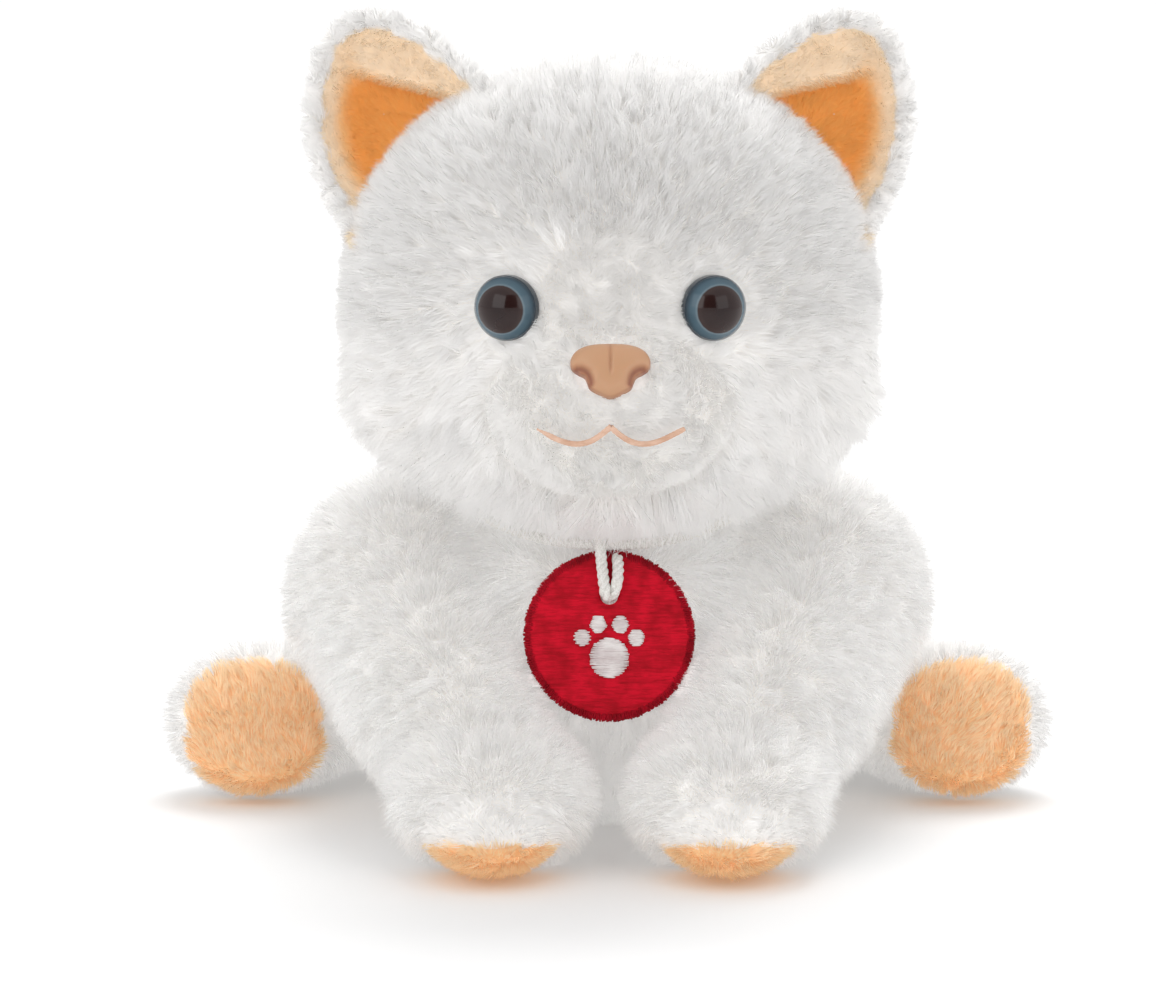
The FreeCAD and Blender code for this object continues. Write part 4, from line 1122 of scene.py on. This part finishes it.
class Ear:
    """One ear: a cup with its crown side folded forward, in the ear joint's own axes."""

    def __init__(self, side):
        self.side = side
        self.place, axis = joint_place(f"{side}_ear_fold")
        self.x_axis = axis * np.sign(axis[0]) * SIDES[side]
        self.z_axis = np.cross(self.x_axis, [0, 1, 0])
        self.z_axis = self.z_axis * np.sign(self.z_axis[2])

    def fold(self, flat):
        """(distance past the fold line into the flap, share of the fold's height there)."""
        along = unit(FOLD_END - FOLD_START)
        past = (flat - FOLD_START) @ np.array([-along[1], along[0]])
        run = (flat - FOLD_START) @ along
        return past, ramp(run, 27, 14)

    def point(self, flat, inset):
        """The sheet's point over (x, z) in mm, moved back to front by inset mm."""
        cup_y, cup_z, cup_radius = EAR_CUP
        radius = cup_radius - inset
        gap = np.maximum(radius**2 - flat[:, 0] ** 2 - (flat[:, 1] - cup_z) ** 2, 60.0)
        y = cup_y + np.sqrt(gap)
        past, share = self.fold(flat)
        y = y - share * (3.6 * ramp(past, -1.2, 2.2) - 0.14 * np.maximum(past, 0))
        y = y + share * 1.2 * ramp(past, -7, 0) * ramp(past, 0.8, -0.8)
        local = column(flat[:, 0]) * self.x_axis + column(y) * [0, 1, 0] + column(flat[:, 1]) * self.z_axis
        return self.place + MM * local

    def sheet(self, name, inset, scale, material, front):
        outline = smooth_path(EAR_EDGE, 120, closed=True)
        centre = np.array([0.0, 11.0])
        rings = np.linspace(0.01, 1.0, 34)
        verts = [self.point(centre + (outline - centre) * ring * scale, inset) for ring in rings]
        verts.append(self.point(outline, EAR_MIDDLE))
        faces = grid_faces(len(verts), len(outline))
        if front != (self.side == "left"):
            faces = [face[::-1] for face in faces]
        return mesh_object(name, np.concatenate(verts), faces, material)

    def local(self, points):
        rel = (points - self.place) / MM
        return np.stack([rel @ self.x_axis, rel @ self.z_axis], 1)


def ear_rim(flat):
    """How far each point is from the ear's edge, mm."""
    return distance_to_line(flat, smooth_path(EAR_EDGE[:-2], 90))


def build_ear(side):
    ear = Ear(side)
    body = f"{side}_ear"
    back = ear.sheet(f"{side}_ear_back_skin", 0.6, 1.0, BACKING, False)
    lining = ear.sheet(f"{side}_ear_lining_skin", 2.6, 0.985, LINING_PILE, True)
    lining.data.materials.append(BACKING)
    mark_faces(lining, lambda centres: ear_rim(ear.local(centres)) < TRIM - 0.4)
    for skin, node in ((back, "ear_back"), (lining, "ear_lining")):
        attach(skin, body)
        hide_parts(f"{side}_{node}")
    head = triangles(SKINS["head_skin"])[0]
    skull = (head.max(0) - head.min(0)) / 2
    skull_middle = (head.max(0) + head.min(0)) / 2

    def clear_of_head(points, normals=None):
        return np.linalg.norm((points - skull_middle) / skull, axis=1) > 0.97

    def keep_between(low, high):
        """A keep function: none of the pile at low mm from the rim, all of it at high."""
        return lambda points, normals: clear_of_head(points) * ramp(ear_rim(ear.local(points)), low, high)

    def out_comb(points, normals):
        flat = ear.local(points) - [0.0, -2.0]
        return column(flat[:, 0]) * ear.x_axis + column(flat[:, 1]) * ear.z_axis

    def near_rim(points, normals):
        return ramp(ear_rim(ear.local(points)), 6, 1)

    def back_length(points, normals):
        return 3.8 + 0.8 * near_rim(points, normals)

    def out_of_painted_shade(points):
        """0 in the orange pocket, deepened with painted shade under the folded flap, 1 on the flap and at the
        rim.
        """
        flat = ear.local(points)
        past, share = ear.fold(flat)
        return 1 - 0.98 * ramp(past * share, 1.6, -2.0) * ramp(ear_rim(flat), 4.0, 11.0)

    def lining_shade(points, normals, rng):
        return np.clip(out_of_painted_shade(points) + rng.normal(0, 0.03, len(points)), 0, 1)

    look = Look(7.0, 0.18, EAR_PILE, root_lift=60, tip_lift=30, sag=0.0)
    grow(f"{side}_ear_back_pile", back, body, look, back_length, out_comb, clear_of_head, 40, lay=near_rim)
    fringe = Look(24.0, 0.16, EAR_PILE, root_lift=46, tip_lift=18, sag=0.0, lock=2.0, fluff=0.1)
    grow(f"{side}_ear_fringe", lining, body, fringe, steady(3.8), out_comb,
         keep_between(TRIM + 0.8, TRIM - 1.2), 41)
    paint(lining, out_of_painted_shade(triangles(lining)[0]))
    nap = Look(13.0, 0.16, LINING_PILE, steps=2, root_lift=62, tip_lift=38, sag=0.0, lock=1.8, pull=0.05,
               lock_turn=10, stray=10, fluff=0.05)
    grow(f"{side}_ear_lining_pile", lining, body, nap, steady(2.3), out_comb,
         keep_between(TRIM - 0.9, TRIM + 0.1), 42, shade=lining_shade)


for side_name in SIDES:
    build_ear(side_name)

# ------------------------------------------------------------------ neck cord, hang tag and care label

CORD_RADIUS = 1.35 * MM
CORD_PITCH = 5.2 * MM


def build_neck_cord():
    verts = triangles(frame["nodes"]["neck_cord"])[0]
    centre = middle("neck_cord")
    _, b, a = spread_axes(verts)
    radius = away(verts, centre)
    path = centre + (radius.max() + radius.min()) / 2 * about(turns(420), a, b)
    cord = mesh_object("neck_cord_braid", *braid(path, CORD_RADIUS, CORD_PITCH, closed=True), CORD_COTTON)
    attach(cord, "torso")
    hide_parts("neck_cord")


def on_tag(x, up, out):
    """A point given in mm from the middle of the tag."""
    return TAG_MIDDLE + MM * (x * ACROSS + up * TAG_UP + out * TAG_OUT)


def build_tag_loop():
    """A cord loop round the neck cord: both strands in front of the tag, through its hole, tied behind."""
    hole = (TAG_HOLE - TAG_MIDDLE) @ TAG_UP / MM
    front = joint_place("tag_loop_swing")[0]
    reach = 2 * CORD_RADIUS / MM
    up_strand = [(0.3, 0.0, -3.0), (-0.2, -0.2, 0.4), (-0.9, 0.6, 2.5), (-1.4, 4.0, 2.9)]
    over = [(-2.0, -reach, -2.0), (-2.2, -0.7 * reach, 0.7 * reach), (-1.8, 0.6 * reach, 0.8 * reach),
            (-0.4, reach, -0.6), (1.2, 0.2 * reach, -reach), (2.0, -0.8 * reach, -1.2 * reach)]
    down_strand = [(2.0, 4.5, 2.9), (1.5, 1.6, 2.4), (0.8, 0.3, 0.8), (0.5, 0.0, -3.0)]
    path = [on_tag(x, hole + up, out) for x, up, out in up_strand]
    path += [front + MM * np.array(step) for step in over]
    path += [on_tag(x, hole + up, out) for x, up, out in down_strand]
    loop = braid(smooth_path(path, 220), CORD_RADIUS, CORD_PITCH)
    ring = on_tag(0.3, hole, -3.6) + 2.1 * MM * about(turns(40), ACROSS, TAG_UP)
    knot = braid(ring, 1.1 * MM, 4.0 * MM, closed=True)
    verts, faces = merged([loop, knot])
    cord = mesh_object("tag_loop_braid", verts, faces, CORD_COTTON)
    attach(cord, "tag_loop")
    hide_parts("tag_loop")


def disc(name, front, back, radius, material):
    """A round layer of the tag with its hole, between two distances in front of the tag's middle, mm."""
    hole = np.array([0.0, (TAG_HOLE - TAG_MIDDLE) @ TAG_UP / MM])
    count = 192
    angles = turns(count)
    circle = about(angles, np.array([1.0, 0.0]), np.array([0.0, 1.0]))
    rng = np.random.default_rng(SEED + len(name))
    edge = circle * (radius + column(0.10 * np.sin(angles * 9 + 1) + rng.normal(0, 0.05, count)))
    inner = hole + circle * 2.1
    rows = []
    for share in np.linspace(0, 1, 14):
        rows.append((inner + share * (edge - inner), front - 0.25 * ramp(share, 0.9, 1.0)))
    rows.append((edge * 1.003, (front + back) / 2))
    rows += [(flat, back) for flat, _ in rows[-2::-1]]
    verts = [np.array([on_tag(x, up, out) for x, up in flat]) for flat, out in rows]
    faces = grid_faces(len(rows), count)
    last = (len(rows) - 1) * count
    faces += [(last + c, last + (c + 1) % count, (c + 1) % count, c) for c in range(count)]
    return mesh_object(name, np.concatenate(verts), faces, material)


# the embroidered paw print: x, height and radius of each round pad, mm
PAW_PADS = [(0.0, -5.2, 4.7), (-2.6, 2.7, 2.0), (-6.4, -0.5, 1.9), (2.6, 2.7, 2.0), (6.4, -0.5, 1.9)]


def build_tag():
    face = disc("tag_face_stitched", TAG_LAYER / MM, 0.03, TAG_RADIUS / MM, TAG_STITCH)
    backing = disc("tag_backing_felt", -0.03, -TAG_LAYER / MM, TAG_RADIUS / MM - 0.3, TAG_FELT)
    rng = np.random.default_rng(SEED)
    edge = []
    for angle in turns(240):
        angle += rng.normal(0, 0.004)
        radius = TAG_RADIUS / MM + rng.normal(0, 0.10)
        inner = radius - 1.5 + rng.normal(0, 0.12)
        profile = [(inner, 0.85), (radius - 0.5, 1.05), (radius + 0.15, 0.5), (radius, -0.5)]
        path = [on_tag(math.cos(angle) * reach, math.sin(angle) * reach, out) for reach, out in profile]
        edge.append(tube(path, [0.2 * MM, 0.27 * MM, 0.27 * MM, 0.2 * MM], 5))
    border = mesh_object("tag_edge_stitches", *merged(edge), TAG_EDGE)
    stitches = []
    for x, up, radius in PAW_PADS:
        rows = int(2 * radius / 0.4)
        for row in range(rows):
            height = -radius + 0.2 + row * (2 * radius - 0.4) / (rows - 1)
            half = math.sqrt(max(radius**2 - height**2, 0.3)) + rng.normal(0, 0.16)
            slant = rng.normal(0, 0.05)
            path = [on_tag(x + t * half, up + height + slant * t, 1.05 + 0.38 * (1 - t**4))
                    for t in np.linspace(-1, 1, 7)]
            stitches.append(tube(path, 0.27 * MM * np.array([0.5, 1, 1, 1, 1, 1, 0.5]), 6))
    motif = mesh_object("tag_motif_stitches", *merged(stitches), TAG_WHITE)
    for piece, node in ((face, "tag_face"), (backing, "tag_backing"), (motif, "tag_motif")):
        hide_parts(node)
    for piece in (face, backing, border, motif):
        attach(piece, "tag")


def build_label():
    """A blank folded ribbon that stands out of the side seam and curls a little."""
    low, high = (np.array(corner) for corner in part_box("care_label"))
    half, reach = (high[2] - low[2]) / 2, high[1] - low[1] - 0.4 * MM
    x, z = (low[0] + high[0]) / 2, (low[2] + high[2]) / 2
    curl, gap = 1.2 * MM, 0.32 * MM

    def layer(offset, shares):
        return [(x + offset - curl * share**2, low[1] + reach * share) for share in shares]

    there = np.linspace(0, 1, 16)
    profile = layer(-gap, there) + [(x - curl, high[1])] + layer(gap, there[::-1])
    verts = [(px, py, z + t * half) for px, py in profile for t in np.linspace(-1, 1, 9)]
    label = mesh_object("care_label_ribbon", verts, grid_faces(len(profile), 9, closed=False), LABEL_RIBBON)
    label.modifiers.new("cloth", "SOLIDIFY").thickness = 0.18 * MM
    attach(label, "torso")
    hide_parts("care_label")


build_neck_cord()
build_tag_loop()
build_tag()
build_label()

# ------------------------------------------------------------------ finishes of the CAD pieces that stay

KEPT_NODES = {
    "seam": SEAM_THREAD,
    "washer": WASHER_PLASTIC,
    "pellet_pouch": POUCH_CLOTH,
    "pellet_fill": PELLETS,
}
for node_name, node_object in frame["nodes"].items():
    for word, finish in KEPT_NODES.items():
        if word in node_name:
            node_object.data.materials.clear()
            node_object.data.materials.append(finish)

# ------------------------------------------------------------------ stage, light and camera


def build_stage():
    """A white floor, and a dark card behind the camera that the eyes reflect."""
    nodes = Nodes("floor_white")
    noise = nodes.add("ShaderNodeTexNoise", {"Vector": nodes.coords(), "Scale": 3.0})
    colour = nodes.ramp(noise.outputs[0], [(0.3, (0.83, 0.83, 0.83)), (0.7, (0.85, 0.85, 0.85))])
    floor_white = nodes.principled(Base_Color=colour, Roughness=0.9)
    card_grey = cloth_material("card_grey", (0.03, 0.025, 0.025), (0.02, 0.02, 0.02))
    size = 6.0
    floor_corners = [(-size, -size, 0), (size, -size, 0), (size, size, 0), (-size, size, 0)]
    card_corners = [(-0.9, -2.8, 0.3), (1.0, -2.8, 0.3), (1.0, -2.8, 2.8), (-0.9, -2.8, 2.8)]
    mesh_object("floor", floor_corners, [(0, 1, 2, 3)], floor_white)
    mesh_object("dark_card", card_corners, [(0, 1, 2, 3)], card_grey)


def area_light(name, place, target, size, watts):
    data = bpy.data.lights.new(name, "AREA")
    data.shape = "RECTANGLE"
    data.size, data.size_y = size
    data.energy = watts
    light = placed(name, data)
    light.location = place
    light.rotation_euler = (Vector(target) - Vector(place)).to_track_quat("-Z", "Y").to_euler()


def build_light_and_camera():
    scene = bpy.context.scene
    world = bpy.data.worlds.new("studio")
    scene.world = world
    world.use_nodes = True
    world.node_tree.nodes["Background"].inputs[0].default_value = (1.0, 1.0, 1.0, 1.0)
    world.node_tree.nodes["Background"].inputs[1].default_value = 1.02
    area_light("key_light", (-1.9, -2.3, 1.3), (0, -0.03, 0.08), (2.2, 2.2), 18.0)
    area_light("top_light", (0.2, 1.1, 1.9), (0, 0, 0.08), (1.4, 1.0), 27.0)
    area_light("side_light", (2.0, -2.2, 1.1), (0, -0.03, 0.07), (2.0, 2.0), 9.0)
    scene.view_settings.view_transform = "Standard"
    scene.cycles.diffuse_bounces = 8
    scene.cycles.max_bounces = 14
    camera = placed("camera", bpy.data.cameras.new("camera"))
    elevation, distance, view_width = math.radians(10.0), 1.3, 0.266
    aim = Vector((-7.4 * MM, FACE_FRONT + 8 * MM, 89.2 * MM))
    away = Vector((0.0, -math.cos(elevation), math.sin(elevation)))
    camera.location = aim + away * distance
    camera.rotation_euler = away.to_track_quat("Z", "Y").to_euler()
    camera.data.sensor_width = 36.0
    camera.data.lens = camera.data.sensor_width * distance / view_width
    camera.data.clip_start, camera.data.clip_end = 0.05, 50.0
    scene.camera = camera


build_stage()
build_light_and_camera()
